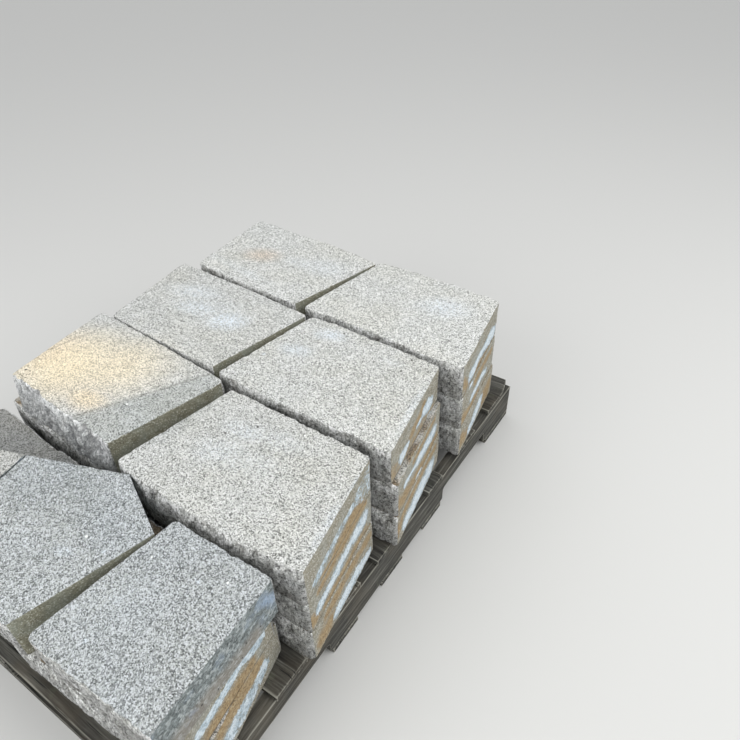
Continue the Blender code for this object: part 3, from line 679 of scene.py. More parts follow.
def new_tree(name, sizes):
    """A Geometry Nodes tree with named inputs for its sizes."""
    tree = bpy.data.node_groups.new(name, "GeometryNodeTree")
    tree.is_modifier = True
    tree.interface.new_socket("Geometry", in_out="INPUT", socket_type="NodeSocketGeometry")
    for size, value in sizes.items():
        socket = tree.interface.new_socket(size, in_out="INPUT", socket_type="NodeSocketFloat")
        socket.default_value = value
    tree.interface.new_socket("Geometry", in_out="OUTPUT", socket_type="NodeSocketGeometry")
    spot = add(tree, NAMED, {"Name": "spot"}, data_type="FLOAT_VECTOR")
    return tree, add(tree, "NodeGroupInput", give="node").outputs, spot


def lumps_of(tree, at, size_mm, seed, detail=3.0):
    """Uneven ground about nought, from -0.5 to 0.5, whose lumps are of a size."""
    height = add(tree, NOISE, {
        "Vector": at, "W": seed, "Scale": per(size_mm), "Detail": detail, "Roughness": 0.6,
    }, noise_dimensions="4D")
    return add(tree, MATH, {0: height, 1: 0.5}, operation="SUBTRACT")


def carve(tree, geometry, depth):
    """Moves each point inwards along its own outward direction by depth, as far as its reach lets it."""
    reach = add(tree, NAMED, {"Name": "reach"}, data_type="FLOAT")
    outward = add(tree, NAMED, {"Name": "outward"}, data_type="FLOAT_VECTOR")
    inwards = add(tree, MATH, {0: depth, 1: -1.0}, **TIMES)
    away = add(tree, MATH, {0: inwards, 1: reach}, **TIMES)
    offset = add(tree, VECTOR, {0: outward, "Scale": away}, **SCALED)
    return add(tree, "GeometryNodeSetPosition", {"Geometry": geometry, "Offset": offset})


def end_tree(tree, geometry, finishes):
    """Ends a tree in Realize Instances and Set Material, with a finish for each kind of face."""
    made = add(tree, "GeometryNodeRealizeInstances", {"Geometry": geometry})
    for kind, finish in finishes:
        inputs = {"Geometry": made, "Material": finish}
        if kind is not None:
            face_kind = add(tree, NAMED, {"Name": "face_kind"}, data_type="INT")
            settings = {"data_type": "INT", "operation": "EQUAL"}
            inputs["Selection"] = add(tree, "FunctionNodeCompare", {2: face_kind, 3: kind}, **settings)
        made = add(tree, "GeometryNodeSetMaterial", inputs)
    add(tree, "NodeGroupOutput", {0: made})
    return tree


def break_tree():
    """Breaks a cap's split faces into lumps and gravel, chips its arrises and dulls its other sides."""
    tree, value, spot = new_tree("Broken concrete cap", {
        "Lumps": 0.0075, "Facets": 0.0042, "Gravel": 0.0030, "Chips": 0.008, "Most out": 0.0015, "Seed": 1.0,
    })
    seed = value["Seed"]
    rise = add(tree, NAMED, {"Name": "rise"}, data_type="FLOAT")
    broken = add(tree, NAMED, {"Name": "broken"}, data_type="FLOAT")
    bend = add(tree, NOISE, {"Vector": spot, "W": seed, "Scale": per(22)}, give=1, noise_dimensions="4D")
    bend = add(tree, VECTOR, {0: bend, "Scale": 0.012}, **SCALED)
    bent = add(tree, VECTOR, {0: spot, 1: bend}, operation="ADD")
    lumps = lumps_of(tree, spot, 31, seed, 4.0)
    relief = add(tree, MATH, {0: lumps, 1: value["Lumps"]}, **TIMES)
    for size_mm, middle, depth in ((16, 0.45, value["Facets"]), (6.7, 0.35, value["Gravel"])):
        cells = {"Vector": bent, "W": seed, "Scale": per(size_mm)}
        away = add(tree, "ShaderNodeTexVoronoi", cells, voronoi_dimensions="4D")
        away = add(tree, MATH, {0: away, 1: middle}, operation="SUBTRACT")
        relief = add(tree, MATH, {0: away, 1: depth, 2: relief}, **TIMES_PLUS)
    relief = add(tree, MATH, {0: relief, 1: 0.0012}, operation="SUBTRACT")
    least = add(tree, MATH, {0: value["Most out"], 1: -1.0}, **TIMES)
    relief = add(tree, MATH, {0: relief, 1: least}, operation="MAXIMUM")
    # Bites out of the upper and lower arrises.
    level = add(tree, VECTOR, {0: spot, 1: (1.0, 1.0, 0.0)}, **TIMES)
    for size_mm, shift, low, high, start, end, share in (
        (42, 0.0, 0.06, 0.26, 0.74, 1.0, 1.0), (33, 7.3, 0.07, 0.26, 0.16, 0.0, 0.7),
    ):
        other = add(tree, MATH, {0: seed, 1: shift}, operation="ADD")
        where = lumps_of(tree, level, size_mm, other)
        inputs = {"Value": where, "From Min": low, "From Max": high, "To Max": share}
        where = add(tree, RANGE, inputs, **SMOOTH)
        near = add(tree, RANGE, {"Value": rise, "From Min": start, "From Max": end}, **SMOOTH)
        bite = add(tree, MATH, {0: where, 1: near}, **TIMES)
        relief = add(tree, MATH, {0: bite, 1: value["Chips"], 2: relief}, **TIMES_PLUS)
    # Crumbling of both arrises, finer than the bites.
    from_middle = add(tree, MATH, {0: rise, 1: 0.5}, operation="SUBTRACT")
    from_middle = add(tree, MATH, {0: from_middle}, operation="ABSOLUTE")
    at_arris = add(tree, RANGE, {
        "Value": from_middle, "From Min": 0.43, "From Max": 0.5, "To Max": 0.003,
    }, **SMOOTH)
    ragged = add(tree, MATH, {0: lumps_of(tree, level, 7.7, seed, 2.0), 1: 0.08}, operation="ADD")
    relief = add(tree, MATH, {0: ragged, 1: at_arris, 2: relief}, **TIMES_PLUS)
    # A moulded or sawn side keeps to its plane but for a soft dulling and crumbs lost from its arrises.
    dull = add(tree, MATH, {0: lumps_of(tree, spot, 18, seed), 1: 0.5}, operation="ADD")
    dull = add(tree, MATH, {0: dull, 1: 0.0007}, **TIMES)
    crumbs = lumps_of(tree, spot, 8.3, seed)
    crumbs = add(tree, RANGE, {"Value": crumbs, "From Min": 0.02, "From Max": 0.2}, **SMOOTH)
    plain = add(tree, MATH, {0: crumbs, 1: at_arris, 2: dull}, **TIMES_PLUS)
    depth = add(tree, MIX, {0: broken, 2: plain, 3: relief}, data_type="FLOAT")
    made = add(tree, "GeometryNodeStoreNamedAttribute", {
        "Geometry": value["Geometry"], "Name": "hollow", "Value": depth,
    }, data_type="FLOAT", domain="POINT")
    made = carve(tree, made, depth)
    return end_tree(tree, made, (
        (None, BED), (KINDS["split"], SPLIT), (KINDS["moulded"], MOULDED), (KINDS["sawn"], SAWN),
    ))


def weather_tree(name, wood, slow):
    """Weathers a plank: ridged grain, splits that open from its ends, and worn arrises."""
    tree, value, spot = new_tree(name, {
        "Grain": 0.0009, "Arris wear": 0.0035, "End splits": 0.004, "Seed": 1.0,
    })
    seed = value["Seed"]
    arris = add(tree, NAMED, {"Name": "arris"}, data_type="FLOAT")
    end = add(tree, NAMED, {"Name": "end"}, data_type="FLOAT")
    along = add(tree, VECTOR, {0: spot, 1: slow}, **TIMES)
    grain = add(tree, MATH, {0: lumps_of(tree, along, 8.3, seed), 1: 0.5}, operation="ADD")
    depth = add(tree, MATH, {0: grain, 1: value["Grain"]}, **TIMES)
    wear = add(tree, MATH, {0: lumps_of(tree, along, 17, seed, 4.0), 1: 0.45}, operation="ADD")
    wear = add(tree, MATH, {0: wear, 1: arris}, **TIMES)
    depth = add(tree, MATH, {0: wear, 1: value["Arris wear"], 2: depth}, **TIMES_PLUS)
    other = add(tree, MATH, {0: seed, 1: 9.7}, operation="ADD")
    split = lumps_of(tree, along, 9.5, other, 2.0)
    split = add(tree, RANGE, {"Value": split, "From Min": 0.10, "From Max": 0.20}, **SMOOTH)
    split = add(tree, MATH, {0: split, 1: end}, **TIMES)
    depth = add(tree, MATH, {0: split, 1: value["End splits"], 2: depth}, **TIMES_PLUS)
    return end_tree(tree, carve(tree, value["Geometry"], depth), ((None, wood),))


def grow(name, verts, faces, point_values, face_kinds, tree, sizes):
    """Makes a mesh with its attributes, runs a tree over it, and returns the plain mesh as a new piece."""
    mesh = bpy.data.meshes.new(name)
    mesh.from_pydata([tuple(v) for v in verts], [], faces)
    for key, values in point_values.items():
        values = np.asarray(values, np.float32)
        if values.ndim == 2:
            mesh.attributes.new(key, "FLOAT_VECTOR", "POINT").data.foreach_set("vector", values.ravel())
        else:
            mesh.attributes.new(key, "FLOAT", "POINT").data.foreach_set("value", values)
    marks = mesh.attributes.new("face_kind", "INT", "FACE").data
    marks.foreach_set("value", np.asarray(face_kinds, np.int32))
    rough = bpy.data.objects.new(name + "_net", mesh)
    bpy.context.scene.collection.objects.link(rough)
    modifier = rough.modifiers.new("Shape", "NODES")
    modifier.node_group = tree
    for item in tree.interface.items_tree:
        if item.in_out == "INPUT" and item.name in sizes:
            modifier[item.identifier] = sizes[item.name]
    graph = bpy.context.evaluated_depsgraph_get()
    made = bpy.data.meshes.new_from_object(rough.evaluated_get(graph))
    bpy.data.objects.remove(rough)
    bpy.data.meshes.remove(mesh)
    for key in ("spot", "outward", "reach", "broken", "end", "face_kind"):
        if key in made.attributes:
            made.attributes.remove(made.attributes[key])
    made.name = name
    made.polygons.foreach_set("use_smooth", [True] * len(made.polygons))
    made.set_sharp_from_angle(angle=math.radians(58.0))
    piece = bpy.data.objects.new(name, made)
    bpy.context.scene.collection.objects.link(piece)
    return piece


def corners_of(name):
    """A cap's corners counter-clockwise in millimetres, and the kind of face that starts at each."""
    if name in CUT_CAPS:
        return CUT_CAPS[name]
    x, y, turn, long_side = WHOLE_CAPS[name]
    near = CAP_LONG if long_side == "near" else CAP_SHORT
    far = CAP_SHORT if long_side == "near" else CAP_LONG
    half = CAP_DEPTH / 2
    cos, sin = math.cos(math.radians(turn)), math.sin(math.radians(turn))
    out = CORNERS_OUT.get(name, (0.0,) * 4)
    local = (
        (-near / 2, -half - out[0]), (near / 2, -half - out[1]),
        (far / 2, half + out[2]), (-far / 2, half + out[3]),
    )
    return tuple((x + a * cos - b * sin, y + a * sin + b * cos) for a, b in local), ("split", "moulded") * 2


def walk_round(corners, kinds, tight_face, chance):
    """Stations round a cap's outline, with its corners knocked round.

    Each is its place, outward direction, face kind, how broken it is, its face, its distance along
    that face, the radius of its arris, and whether it lies on a corner's arc.
    """
    count = len(corners)
    corner = [np.array(place, float) for place in corners]
    along = []
    for index in range(count):
        step = corner[(index + 1) % count] - corner[index]
        along.append(step / np.linalg.norm(step))
    outward = [np.array((step[1], -step[0])) for step in along]
    radius = []
    pull = []
    for index in range(count):
        pair = {kinds[index - 1], kinds[index]}
        low, high = (1.5, 3.0) if "split" not in pair else (3.0, 6.0) if "sawn" in pair else (6.0, 12.0)
        radius.append(chance.uniform(low, high))
        turn = math.acos(np.clip(float(outward[index - 1] @ outward[index]), -1.0, 1.0))
        pull.append(radius[index] * math.tan(turn / 2))
    rows = []
    for index in range(count):
        kind = kinds[index]
        centre = corner[index] + along[index] * pull[index] - outward[index] * radius[index]
        for step in range(1, 6):
            share = step / 6
            bisector = outward[index - 1] * (1.0 - share) + outward[index] * share
            bisector = bisector / np.linalg.norm(bisector)
            face = index if share > 0.6 or kind == "split" else (index - 1) % count
            edge = ARRIS[kinds[index - 1]] * (1.0 - share) + ARRIS[kind] * share
            place = centre + bisector * radius[index]
            rows.append((place, bisector, KINDS[kinds[face]], 0.3, face, 0.0, edge, True))
        after = (index + 1) % count
        start = corner[index] + along[index] * pull[index]
        length = float((corner[after] - along[index] * pull[after] - start) @ along[index])
        steps = max(2, round(length / STEP[kind]))
        for step in range(steps + 1):
            gone = length * step / steps
            left = length - gone
            if index == tight_face:
                broken = 0.3
            elif kind == "split":
                broken = 0.35 + 0.65 * min(1.0, gone / 20.0, left / 20.0)
            else:
                from_start = 0.35 * max(0.0, 1.0 - gone / 14.0) if kinds[index - 1] == "split" else 0.0
                from_end = 0.35 * max(0.0, 1.0 - left / 14.0) if kinds[after] == "split" else 0.0
                broken = max(from_start, from_end)
            place = start + along[index] * gone
            on_face = gone + pull[index]
            rows.append((place, outward[index], KINDS[kind], broken, index, on_face, ARRIS[kind], False))
    return rows


def smear_field(chains, along, height):
    """From the fullness of a smear along its middle, through 0 at its edge, to less than 0 outside it."""
    best = np.full(np.broadcast(along, height).shape, -2.0)
    for fullness, *chain in chains:
        places, heights, halves = (np.array(column, float) for column in zip(*chain))
        clamped = np.clip(along, places[0], places[-1])
        middle = np.interp(clamped, places, heights)
        half = np.interp(clamped, places, halves)
        away = np.hypot((height - middle) / half, (along - clamped) / half)
        best = np.maximum(best, np.minimum(fullness, 1.0 - away))
    return best


def chance_smears(chance, low, length):
    """One long smear of lime with fat lobes and thin necks, and patches of ochre, as a mould leaves them."""
    start = chance.uniform(0.10, 0.28) * length
    end = chance.uniform(0.72, 0.93) * length
    middle = low + chance.uniform(28.0, 62.0)
    chain = []
    for step in range(6):
        fat = chance.uniform(12.0, 21.0) if step % 2 else chance.uniform(6.0, 12.0)
        place = start + (end - start) * step / 5
        chain.append((place, middle + chance.uniform(-6.0, 6.0), fat))
    patch_at = chance.uniform(0.05, 0.55) * length
    patch_high = low + chance.choice((14.0, 72.0)) + chance.uniform(-4.0, 8.0)
    patch = ((patch_at, patch_high, 13.0), (patch_at + chance.uniform(50.0, 110.0), patch_high + 3.0, 11.0))
    side = ((2.0, low + 45.0, 24.0), (chance.uniform(14.0, 30.0), low + 40.0, 16.0))
    return ((chance.uniform(0.4, 1.0), *chain),), ((1.0, *patch), (1.0, *side))


def soften(field, loops):
    """Blurs a field over its neighbours along both directions, keeping its borders."""
    for _ in range(loops):
        inner = field.copy()
        inner[:, 1:-1] = 0.25 * field[:, :-2] + 0.5 * field[:, 1:-1] + 0.25 * field[:, 2:]
        field = inner.copy()
        field[1:-1] = 0.25 * inner[:-2] + 0.5 * inner[1:-1] + 0.25 * inner[2:]
    return field


def cad_depth(surface, places, normals, heights):
    """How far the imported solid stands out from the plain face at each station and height, in metres."""
    behind, reach = 13.0 * MM, 40.0 * MM
    found = np.zeros((len(heights), len(places)))
    for row, height in enumerate(heights):
        for column, (place, outward) in enumerate(zip(places, normals)):
            direction = Vector((outward[0], outward[1], 0.0))
            origin = Vector((place[0], place[1], height)) - direction * behind
            hit = surface.ray_cast(origin, direction, reach)
            if hit[0] is not None:
                found[row, column] = hit[3] - behind
    return found


def cap_levels(low, high):
    """Heights up a cap's side, close together at its arrises."""
    edge = (0.0, 0.5, 1.5, 3.0)
    inner = np.linspace(edge[-1] + 2.7, (high - low) - edge[-1] - 2.7, 25)
    return low + np.concatenate((edge, inner, [(high - low) - value for value in reversed(edge)]))


def net_quads(total, count):
    """The quads between a net's closed rings of points, from its first ring to its last."""
    quads = []
    for row in range(total - 1):
        start, above = row * count, (row + 1) * count
        for column in range(count):
            after = (column + 1) % count
            quads.append((start + column, start + after, above + after, above + column))
    return quads


def side_depth(name, kinds, places, normals, face_of, on_arc, gone, heights):
    """How far a cap's sides stand out from its plain faces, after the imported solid's relief."""
    solid = NODES[name].data
    outlines = [tuple(polygon.vertices) for polygon in solid.polygons]
    surface = BVHTree.FromPolygons([corner.co for corner in solid.vertices], outlines)
    low, high = heights[0], heights[-1]
    rise = ((heights - low) / (high - low))[:, None]
    safe = np.clip(heights, low + 3.0 * MM, high - 3.0 * MM)
    count = len(places)
    depth = np.zeros((len(heights), count))
    for face, kind in enumerate(kinds):
        if kind != "split":
            continue
        chosen = np.flatnonzero((face_of == face) & ~on_arc)
        found = soften(cad_depth(surface, places[chosen], normals[chosen], safe), 5)
        if (name, face) in FURTHER_IN:
            shares, insets = zip(*FURTHER_IN[name, face])
            found -= np.interp(gone[chosen] / gone[chosen].max(), shares, insets) * MM
        if name == "cap_right_row1_top" and face == 0:
            # Its upper arris is worn back to a round shoulder.
            found -= 4.5 * rise**5 * MM
        if name == "cap_left_row1_top" and face == 0:
            # This face broke on a slope, so its foot stands out over the stone below.
            found += (9.0 * (1.0 - rise) ** 1.3 - 4.0 * rise**3) * MM
        depth[:, chosen] = found
    # The corners' arcs pass from the depth of one face to that of the next.
    known = np.flatnonzero(~on_arc)
    ends = np.concatenate((known - count, known, known + count))
    for row in range(len(heights)):
        depth[row, on_arc] = np.interp(np.flatnonzero(on_arc), ends, np.tile(depth[row, known], 3))
    return depth


def close_net(sides, middle, heights):
    """A cap's sides with rings over its flat faces, and how far breaking reaches at each point."""
    count = sides.shape[1]
    rings = [np.dstack((sides, np.broadcast_to(heights[:, None], sides.shape[:2])))]
    reaches = [np.ones((len(heights), count))]
    for share, reach in FLAT_RINGS:
        for row in (0, -1):
            flat = middle + (sides[row] - middle) * share
            ring = np.column_stack((flat, np.full(count, heights[row])))
            at_end = 0 if row == 0 else len(rings)
            rings.insert(at_end, ring[None])
            reaches.insert(at_end, np.full((1, count), reach))
    return np.concatenate(rings), np.concatenate(reaches)


def smears_of(name, corners, kinds, face_of, kind_of, gone, heights, chance):
    """How far inside the lime bloom, and the ochre slurry, each place on a cap's sides lies."""
    bloom = np.full((len(heights), len(gone)), -2.0)
    ochre = bloom.copy()
    up = heights[:, None] / MM
    for face, kind in enumerate(kinds):
        marked = face == 1 and name in SMEARS
        if kind != "moulded" and not marked:
            continue
        chosen = np.flatnonzero((face_of == face) & (kind_of == KINDS[kind]))
        length = np.linalg.norm(np.subtract(corners[(face + 1) % len(corners)], corners[face]))
        white, brown = chance_smears(chance, heights[0] / MM, length)
        if marked:
            white, brown = SMEARS[name]["bloom"], SMEARS[name]["ochre"]
        along = gone[None, chosen] - CORNERS_OUT.get(name, (0.0, 0.0))[1]
        bloom[:, chosen] = smear_field(white, along, up)
        ochre[:, chosen] = smear_field(brown, along, up)
    return bloom, ochre


def make_cap(name, tree, seed):
    """One concrete cap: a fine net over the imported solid, broken by the tree, in the solid's place."""
    lowest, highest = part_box(name)
    corners, kinds = corners_of(name)
    chance = random.Random(seed)
    tight = TIGHT_FACES.get(name.rsplit("_", 1)[0])
    stations = walk_round(corners, kinds, {"near": 0, "far": 2}.get(tight), chance)
    places, normals, kind_of, broken, face_of, gone, edge, on_arc = map(np.array, zip(*stations))
    places = places * MM
    levels = cap_levels(lowest.z / MM, highest.z / MM)
    heights = levels * MM
    depth = side_depth(name, kinds, places, normals, face_of, on_arc, gone, heights)
    # The arris is rounded more in some places than in others.
    count = len(stations)
    turn = np.linspace(0.0, 2 * math.pi, count, endpoint=False)
    uneven = np.zeros(count)
    for waves in (5, 9, 14, 23, 37):
        uneven += math.sin(chance.uniform(0, 6)) * np.sin(turn * waves + chance.uniform(0, 6))
    edge = edge * (1.0 + 0.22 * uneven).clip(0.5, 1.6)
    from_edge = np.minimum(levels - levels[0], levels[-1] - levels)[:, None]
    inset = edge - np.sqrt(np.maximum(0.0, edge**2 - np.maximum(0.0, edge - from_edge) ** 2))
    sides = places + normals * (depth - inset * MM)[:, :, None]
    points, reach = close_net(sides, places.mean(0), heights)
    ring_heights = points[:, 0, 2]
    shape = points.shape[:2]
    spot = np.dstack((np.broadcast_to(places, (*shape, 2)), np.broadcast_to(ring_heights[:, None], shape)))
    outward = np.dstack((np.broadcast_to(normals, (*shape, 2)), np.zeros(shape)))
    bloom, ochre = smears_of(name, corners, kinds, face_of, kind_of, gone, ring_heights, chance)
    lower_layer = not name.endswith("_top")
    if lower_layer and name != "cap_near_left_middle":
        # Dirt on the ledge that the stone above leaves open.
        ochre[-len(FLAT_RINGS) - 1 :] = (0.9 + 0.4 * uneven).clip(0.65, 1.3)
    if name == "cap_left_row1_top":
        bloom[:, face_of == 0] = 0.6
    faces = net_quads(*shape)
    faces.append(tuple(range(count - 1, -1, -1)))
    faces.append(tuple(shape[0] * count - count + column for column in range(count)))
    # The uppermost rows of a top stone's sides show the bed's finish, as its arris does.
    face_kinds = np.zeros((shape[0] - 1, count), int)
    face_kinds[len(FLAT_RINGS) : shape[0] - (5 if lower_layer else 7)] = kind_of
    # Painted shade falls on the right sides of the left stones, and of the cut middle stone, which face into
    # the gap between the columns.
    shaded = (face_of == 1) & ("left" in name or "middle_top" in name)
    values = {
        "spot": spot.reshape(-1, 3),
        "outward": outward.reshape(-1, 3),
        "broken": np.broadcast_to(broken, shape).ravel(),
        "reach": reach.ravel(),
        "rise": np.repeat((ring_heights - heights[0]) / (heights[-1] - heights[0]), count),
        "bloom": bloom.ravel(),
        "ochre": ochre.ravel(),
        "coolness": np.full(bloom.size, 1.0 if name in CUT_CAPS and "left" not in name else 0.0),
        "tone": np.full(bloom.size, BED_TONES_AND_SHADE.get(name, 1.0)),
        "olive": np.broadcast_to(shaded.astype(float), shape).ravel(),
    }
    sizes = {"Seed": float(seed), "Most out": 0.0004 if tight else 0.0015}
    if name == "cap_left_row1_top":
        sizes.update({"Lumps": 0.017, "Facets": 0.011, "Gravel": 0.0045})
    if name in CUT_CAPS:
        sizes.update({"Lumps": 0.005, "Chips": 0.004})
    face_kinds = np.append(face_kinds, (0, 0))
    piece = grow(name + "_stone", points.reshape(-1, 3), faces, values, face_kinds, tree, sizes)
    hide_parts(name)
    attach(piece, "root")
    return piece


def plank_ring(across, up):
    """Places round a plank's section, as shares of its half width and of its height."""
    wide = np.linspace(-1.0, 1.0, across + 1)
    tall = np.linspace(0.0, 1.0, up + 1)
    points = [(v, 0.0) for v in wide[:-1]]
    points += [(1.0, w) for w in tall[:-1]]
    points += [(v, 1.0) for v in wide[:0:-1]]
    points += [(-1.0, w) for w in tall[:0:-1]]
    return np.array(points)


def corner_wear(across):
    """How much of a worn corner's depth is lost across an end: none from the middle, and all at the side."""
    return np.clip((across - 0.1) / 0.9, 0.0, 1.0) ** 1.5


def make_plank(
    name, tree, seed, origin, turn, length, width, height, stations, bottoms, across, up, worn_end=None
):
    """One plank: rings along its length over its section, closed at the ends by a grid, then weathered."""
    ring = plank_ring(across, up)
    count = len(ring)
    rows = []
    outs = []
    arrises = []
    ends = []
    half = length / 2
    for place, bottom in zip(stations, bottoms):
        v = ring[:, 0] * width / 2
        w = bottom + ring[:, 1] * (height - bottom)
        u = np.full(count, place)
        if worn_end is not None:
            side, depth = worn_end
            near_end = np.clip((place - (half - CORNER_REACH)) / CORNER_REACH, 0.0, 1.0) ** 2
            u = u - depth * near_end * corner_wear(side * ring[:, 0])
        from_side = (1.0 - np.abs(ring[:, 0])) * width / 2
        from_top = np.minimum(ring[:, 1], 1.0 - ring[:, 1]) * (height - bottom)
        from_end = half - abs(place)
        nearest = np.sort(np.stack((from_side, from_top, np.full(count, from_end))), axis=0)[1]
        arrises.append(np.clip(1.0 - nearest / ARRIS_REACH, 0.0, 1.0))
        ends.append(np.full(count, np.clip(1.0 - from_end / END_REACH, 0.0, 1.0)))
        direction = np.zeros((count, 3))
        direction[:, 1] = np.where(np.abs(ring[:, 0]) > 0.999, np.sign(ring[:, 0]), 0.0)
        direction[:, 2] = np.where(ring[:, 1] > 0.999, 1.0, np.where(ring[:, 1] < 0.001, -1.0, 0.0))
        direction[:, 0] = 0.9 * np.sign(place) if from_end < 0.01 else 0.0
        direction /= np.maximum(1.0, np.linalg.norm(direction, axis=1))[:, None]
        outs.append(direction)
        rows.append(np.column_stack((u, v, w)))
    points = list(np.concatenate(rows))
    outward = list(np.concatenate(outs))
    arris = list(np.concatenate(arrises))
    end = list(np.concatenate(ends))
    faces = net_quads(len(rows), count)
    for row, sign in ((0, -1.0), (len(rows) - 1, 1.0)):
        index = {}
        for column, (v, w) in enumerate(ring):
            index[(round((v + 1) / 2 * across), round(w * up))] = row * count + column
        for i in range(1, across):
            for j in range(1, up):
                v, w = -1.0 + 2.0 * i / across, j / up
                u = stations[row]
                if worn_end is not None and sign > 0:
                    u = u - worn_end[1] * corner_wear(worn_end[0] * v)
                index[(i, j)] = len(points)
                points.append((u, v * width / 2, bottoms[row] + w * (height - bottoms[row])))
                outward.append((sign, 0.0, 0.0))
                arris.append(0.0)
                end.append(1.0)
        for i in range(across):
            for j in range(up):
                loop = (index[(i, j)], index[(i + 1, j)], index[(i + 1, j + 1)], index[(i, j + 1)])
                faces.append(loop if sign > 0 else loop[::-1])
    place = Matrix.Translation(Vector(origin) * MM) @ Matrix.Rotation(math.radians(turn), 4, "Z")
    spin = np.array(place.to_3x3())
    points = np.array(points) * MM @ spin.T + np.array(place.translation)
    outward = np.array(outward) @ spin.T
    values = {"spot": points, "outward": outward, "reach": np.ones(len(points)), "arris": arris, "end": end}
    sizes = {"Seed": float(seed)}
    piece = grow(name + "_plank", points, faces, values, np.zeros(len(faces)), tree, sizes)
    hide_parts(name)
    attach(piece, "root")
    return piece


def board_stations(length):
    """Places along a board, close together near its ends."""
    half = length / 2
    close = [0.0, 1.2, 3.0, 6.0, 10.0, 15.0, 21.0, 28.0, 36.0, 45.0, 55.0, 66.0, 78.0]
    middle = np.linspace(-half + 90.0, half - 90.0, round((length - 180.0) / 13.0) + 1)
    return np.concatenate((np.add(close, -half), middle, np.subtract(half, close)[::-1]))


def stringer_stations():
    """Places along a stringer and the height of its underside there, with the two fork notches."""
    pairs = []
    for start in (-NOTCH_FROM_MIDDLE - NOTCH_LONG, NOTCH_FROM_MIDDLE):
        end = start + NOTCH_LONG
        shoulder = NOTCH_DEEP - NOTCH_RADIUS
        pairs += [(start - 6.0, 0.0), (start - 0.6, 0.0)]
        arc = []
        for step in range(6):
            angle = math.radians(18.0 * step)
            arc.append((NOTCH_RADIUS * (1.0 - math.cos(angle)), shoulder + NOTCH_RADIUS * math.sin(angle)))
        pairs += [(start + across + 0.05, up) for across, up in arc]
        for step in range(1, 20):
            pairs.append((start + NOTCH_RADIUS + (NOTCH_LONG - 2 * NOTCH_RADIUS) * step / 20, NOTCH_DEEP))
        pairs += [(end - across - 0.05, up) for across, up in reversed(arc)]
        pairs += [(end + 0.6, 0.0), (end + 6.0, 0.0)]
    between = NOTCH_FROM_MIDDLE - 12.0
    pairs += [(value, 0.0) for value in np.linspace(-between, between, 38)]
    from_ends = np.subtract(STRINGER_LONG / 2, (0.0, 1.2, 3.0, 6.0, 10.0, 16.0, 24.0, 34.0, 46.0, 60.0))
    past_notch = np.linspace(NOTCH_FROM_MIDDLE + NOTCH_LONG + 14.0, 535.0, 7)
    for value in (*from_ends, *past_notch):
        pairs += [(-value, 0.0), (value, 0.0)]
    pairs.sort()
    return [pair[0] for pair in pairs], [pair[1] for pair in pairs]


# How far each board is turned from square, in degrees.
BOARD_TURNS = {
    "deck_board_2": 0.3, "deck_board_3": -0.4, "deck_board_4": 0.2, "deck_board_5": -0.5, "deck_board_6": 0.4,
}


def foot_of(name):
    """The middle of a node's box at its foot, and the size of the box, in millimetres."""
    lowest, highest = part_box(name)
    middle = (lowest + highest) / 2 / MM
    return (middle.x, middle.y, lowest.z / MM), (highest - lowest) / MM


def make_pallet():
    """The stringers and boards of the pallet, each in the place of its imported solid."""
    boards = weather_tree("Weathered board", BOARD_WOOD, (0.06, 1.0, 1.0))
    runners = weather_tree("Weathered stringer", STRINGER_WOOD, (1.0, 0.06, 1.0))
    for number, name in enumerate(sorted(n for n in NODES if "_board_" in n)):
        origin, size = foot_of(name)
        turn = BOARD_TURNS.get(name, 0.0)
        cos, sin = math.cos(math.radians(abs(turn))), math.sin(math.radians(abs(turn)))
        width = (size.y * cos - size.x * sin) / (cos * cos - sin * sin)
        length = (size.x * cos - size.y * sin) / (cos * cos - sin * sin)
        stations = board_stations(length)
        worn = (1.0, 15.0) if name == "deck_board_7" else None
        across = max(8, round(width / 6.5))
        make_plank(
            name, boards, 200 + number, origin, turn, length, width, size.z, stations,
            np.zeros(len(stations)), across, 4, worn,
        )
    stations, bottoms = stringer_stations()
    for number, name in enumerate(("stringer_left", "stringer_middle", "stringer_right")):
        make_plank(
            name, runners, 300 + number, foot_of(name)[0], 90.0, STRINGER_LONG, STRINGER_WIDE,
            STRINGER_HIGH, stations, bottoms, 6, 12,
        )


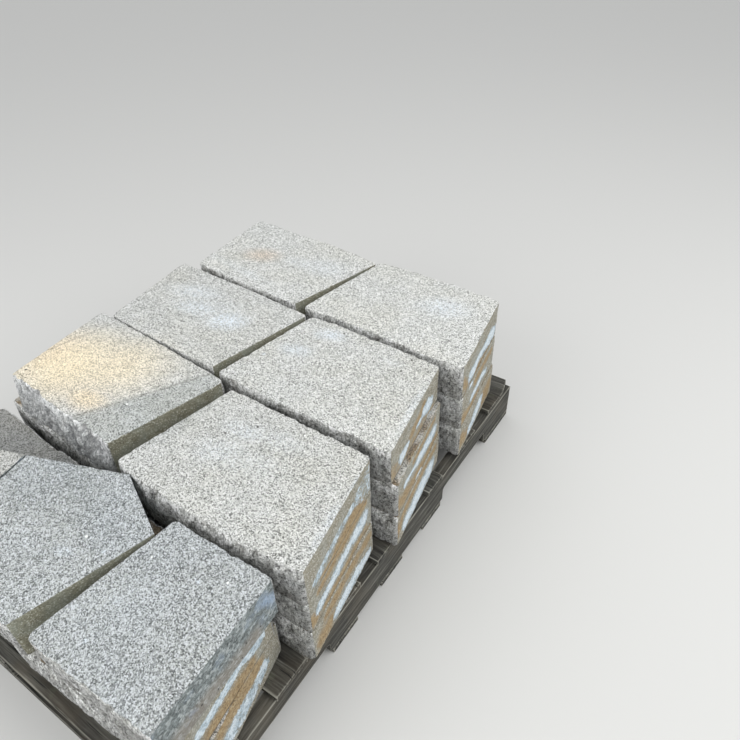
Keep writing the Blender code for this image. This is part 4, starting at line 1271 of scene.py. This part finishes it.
def make_stage():
    """A plain pale floor and soft light."""
    floor_mesh = bpy.data.meshes.new("studio_floor")
    bm = bmesh.new()
    bmesh.ops.create_grid(bm, x_segments=1, y_segments=1, size=30.0)
    bm.to_mesh(floor_mesh)
    bm.free()
    floor = bpy.data.objects.new("studio_floor", floor_mesh)
    bpy.context.scene.collection.objects.link(floor)
    paint = bpy.data.materials.new("matt_studio_floor")
    paint.use_nodes = True
    shader = paint.node_tree.nodes["Principled BSDF"]
    shader.inputs["Base Color"].default_value = linear("#D9D9D6")
    shader.inputs["Roughness"].default_value = 0.95
    floor_mesh.materials.append(paint)
    world = bpy.data.worlds.new("soft_sky")
    world.use_nodes = True
    bpy.context.scene.world = world
    sky = world.node_tree.nodes["Background"]
    sky.inputs["Color"].default_value = linear("#F6F7F9")
    sky.inputs["Strength"].default_value = 0.76
    for name, place, size, power in (
        ("key_softbox", (2.6, 0.4, 2.9), 2.6, 58.0),
        ("fill_softbox", (-0.6, -2.8, 2.2), 2.6, 42.0),
    ):
        data = bpy.data.lights.new(name, "AREA")
        data.shape = "SQUARE"
        data.size = size
        data.energy = power
        lamp = bpy.data.objects.new(name, data)
        lamp.location = place
        aim = Vector((0.0, 0.0, 0.3)) - Vector(place)
        lamp.rotation_euler = aim.to_track_quat("-Z", "Y").to_euler()
        bpy.context.scene.collection.objects.link(lamp)


def make_camera():
    """The camera found from the stones' perspective: its place, pitch, roll, bearing and focal length."""
    pitch, roll, bearing = math.radians(39.820), math.radians(-1.651), math.radians(-34.75)
    cos, sin = math.cos(roll), math.sin(roll)
    rise = Vector((0.0, math.sin(pitch), math.cos(pitch)))
    right = Vector((cos, 0.0, 0.0)) + rise * sin
    up = rise * cos - Vector((sin, 0.0, 0.0))
    ahead = Vector((0.0, math.cos(pitch), -math.sin(pitch)))
    turn = Matrix.Rotation(-bearing, 3, "Z")
    axes = Matrix((turn @ right, turn @ up, turn @ -ahead)).transposed()
    data = bpy.data.cameras.new("photo_camera")
    data.sensor_width = SENSOR_WIDE
    data.sensor_fit = "HORIZONTAL"
    data.lens = FOCAL_LENGTH / PHOTO_WIDE * SENSOR_WIDE
    camera = bpy.data.objects.new("photo_camera", data)
    camera.matrix_world = Matrix.Translation(CAMERA_PLACE) @ axes.to_4x4()
    bpy.context.scene.collection.objects.link(camera)
    bpy.context.scene.camera = camera


make_camera()
make_stage()
make_pallet()
BREAK = break_tree()
for order, cap in enumerate(sorted([*WHOLE_CAPS, *CUT_CAPS])):
    make_cap(cap, BREAK, 11 + order)
bpy.context.scene.view_settings.view_transform = "Standard"
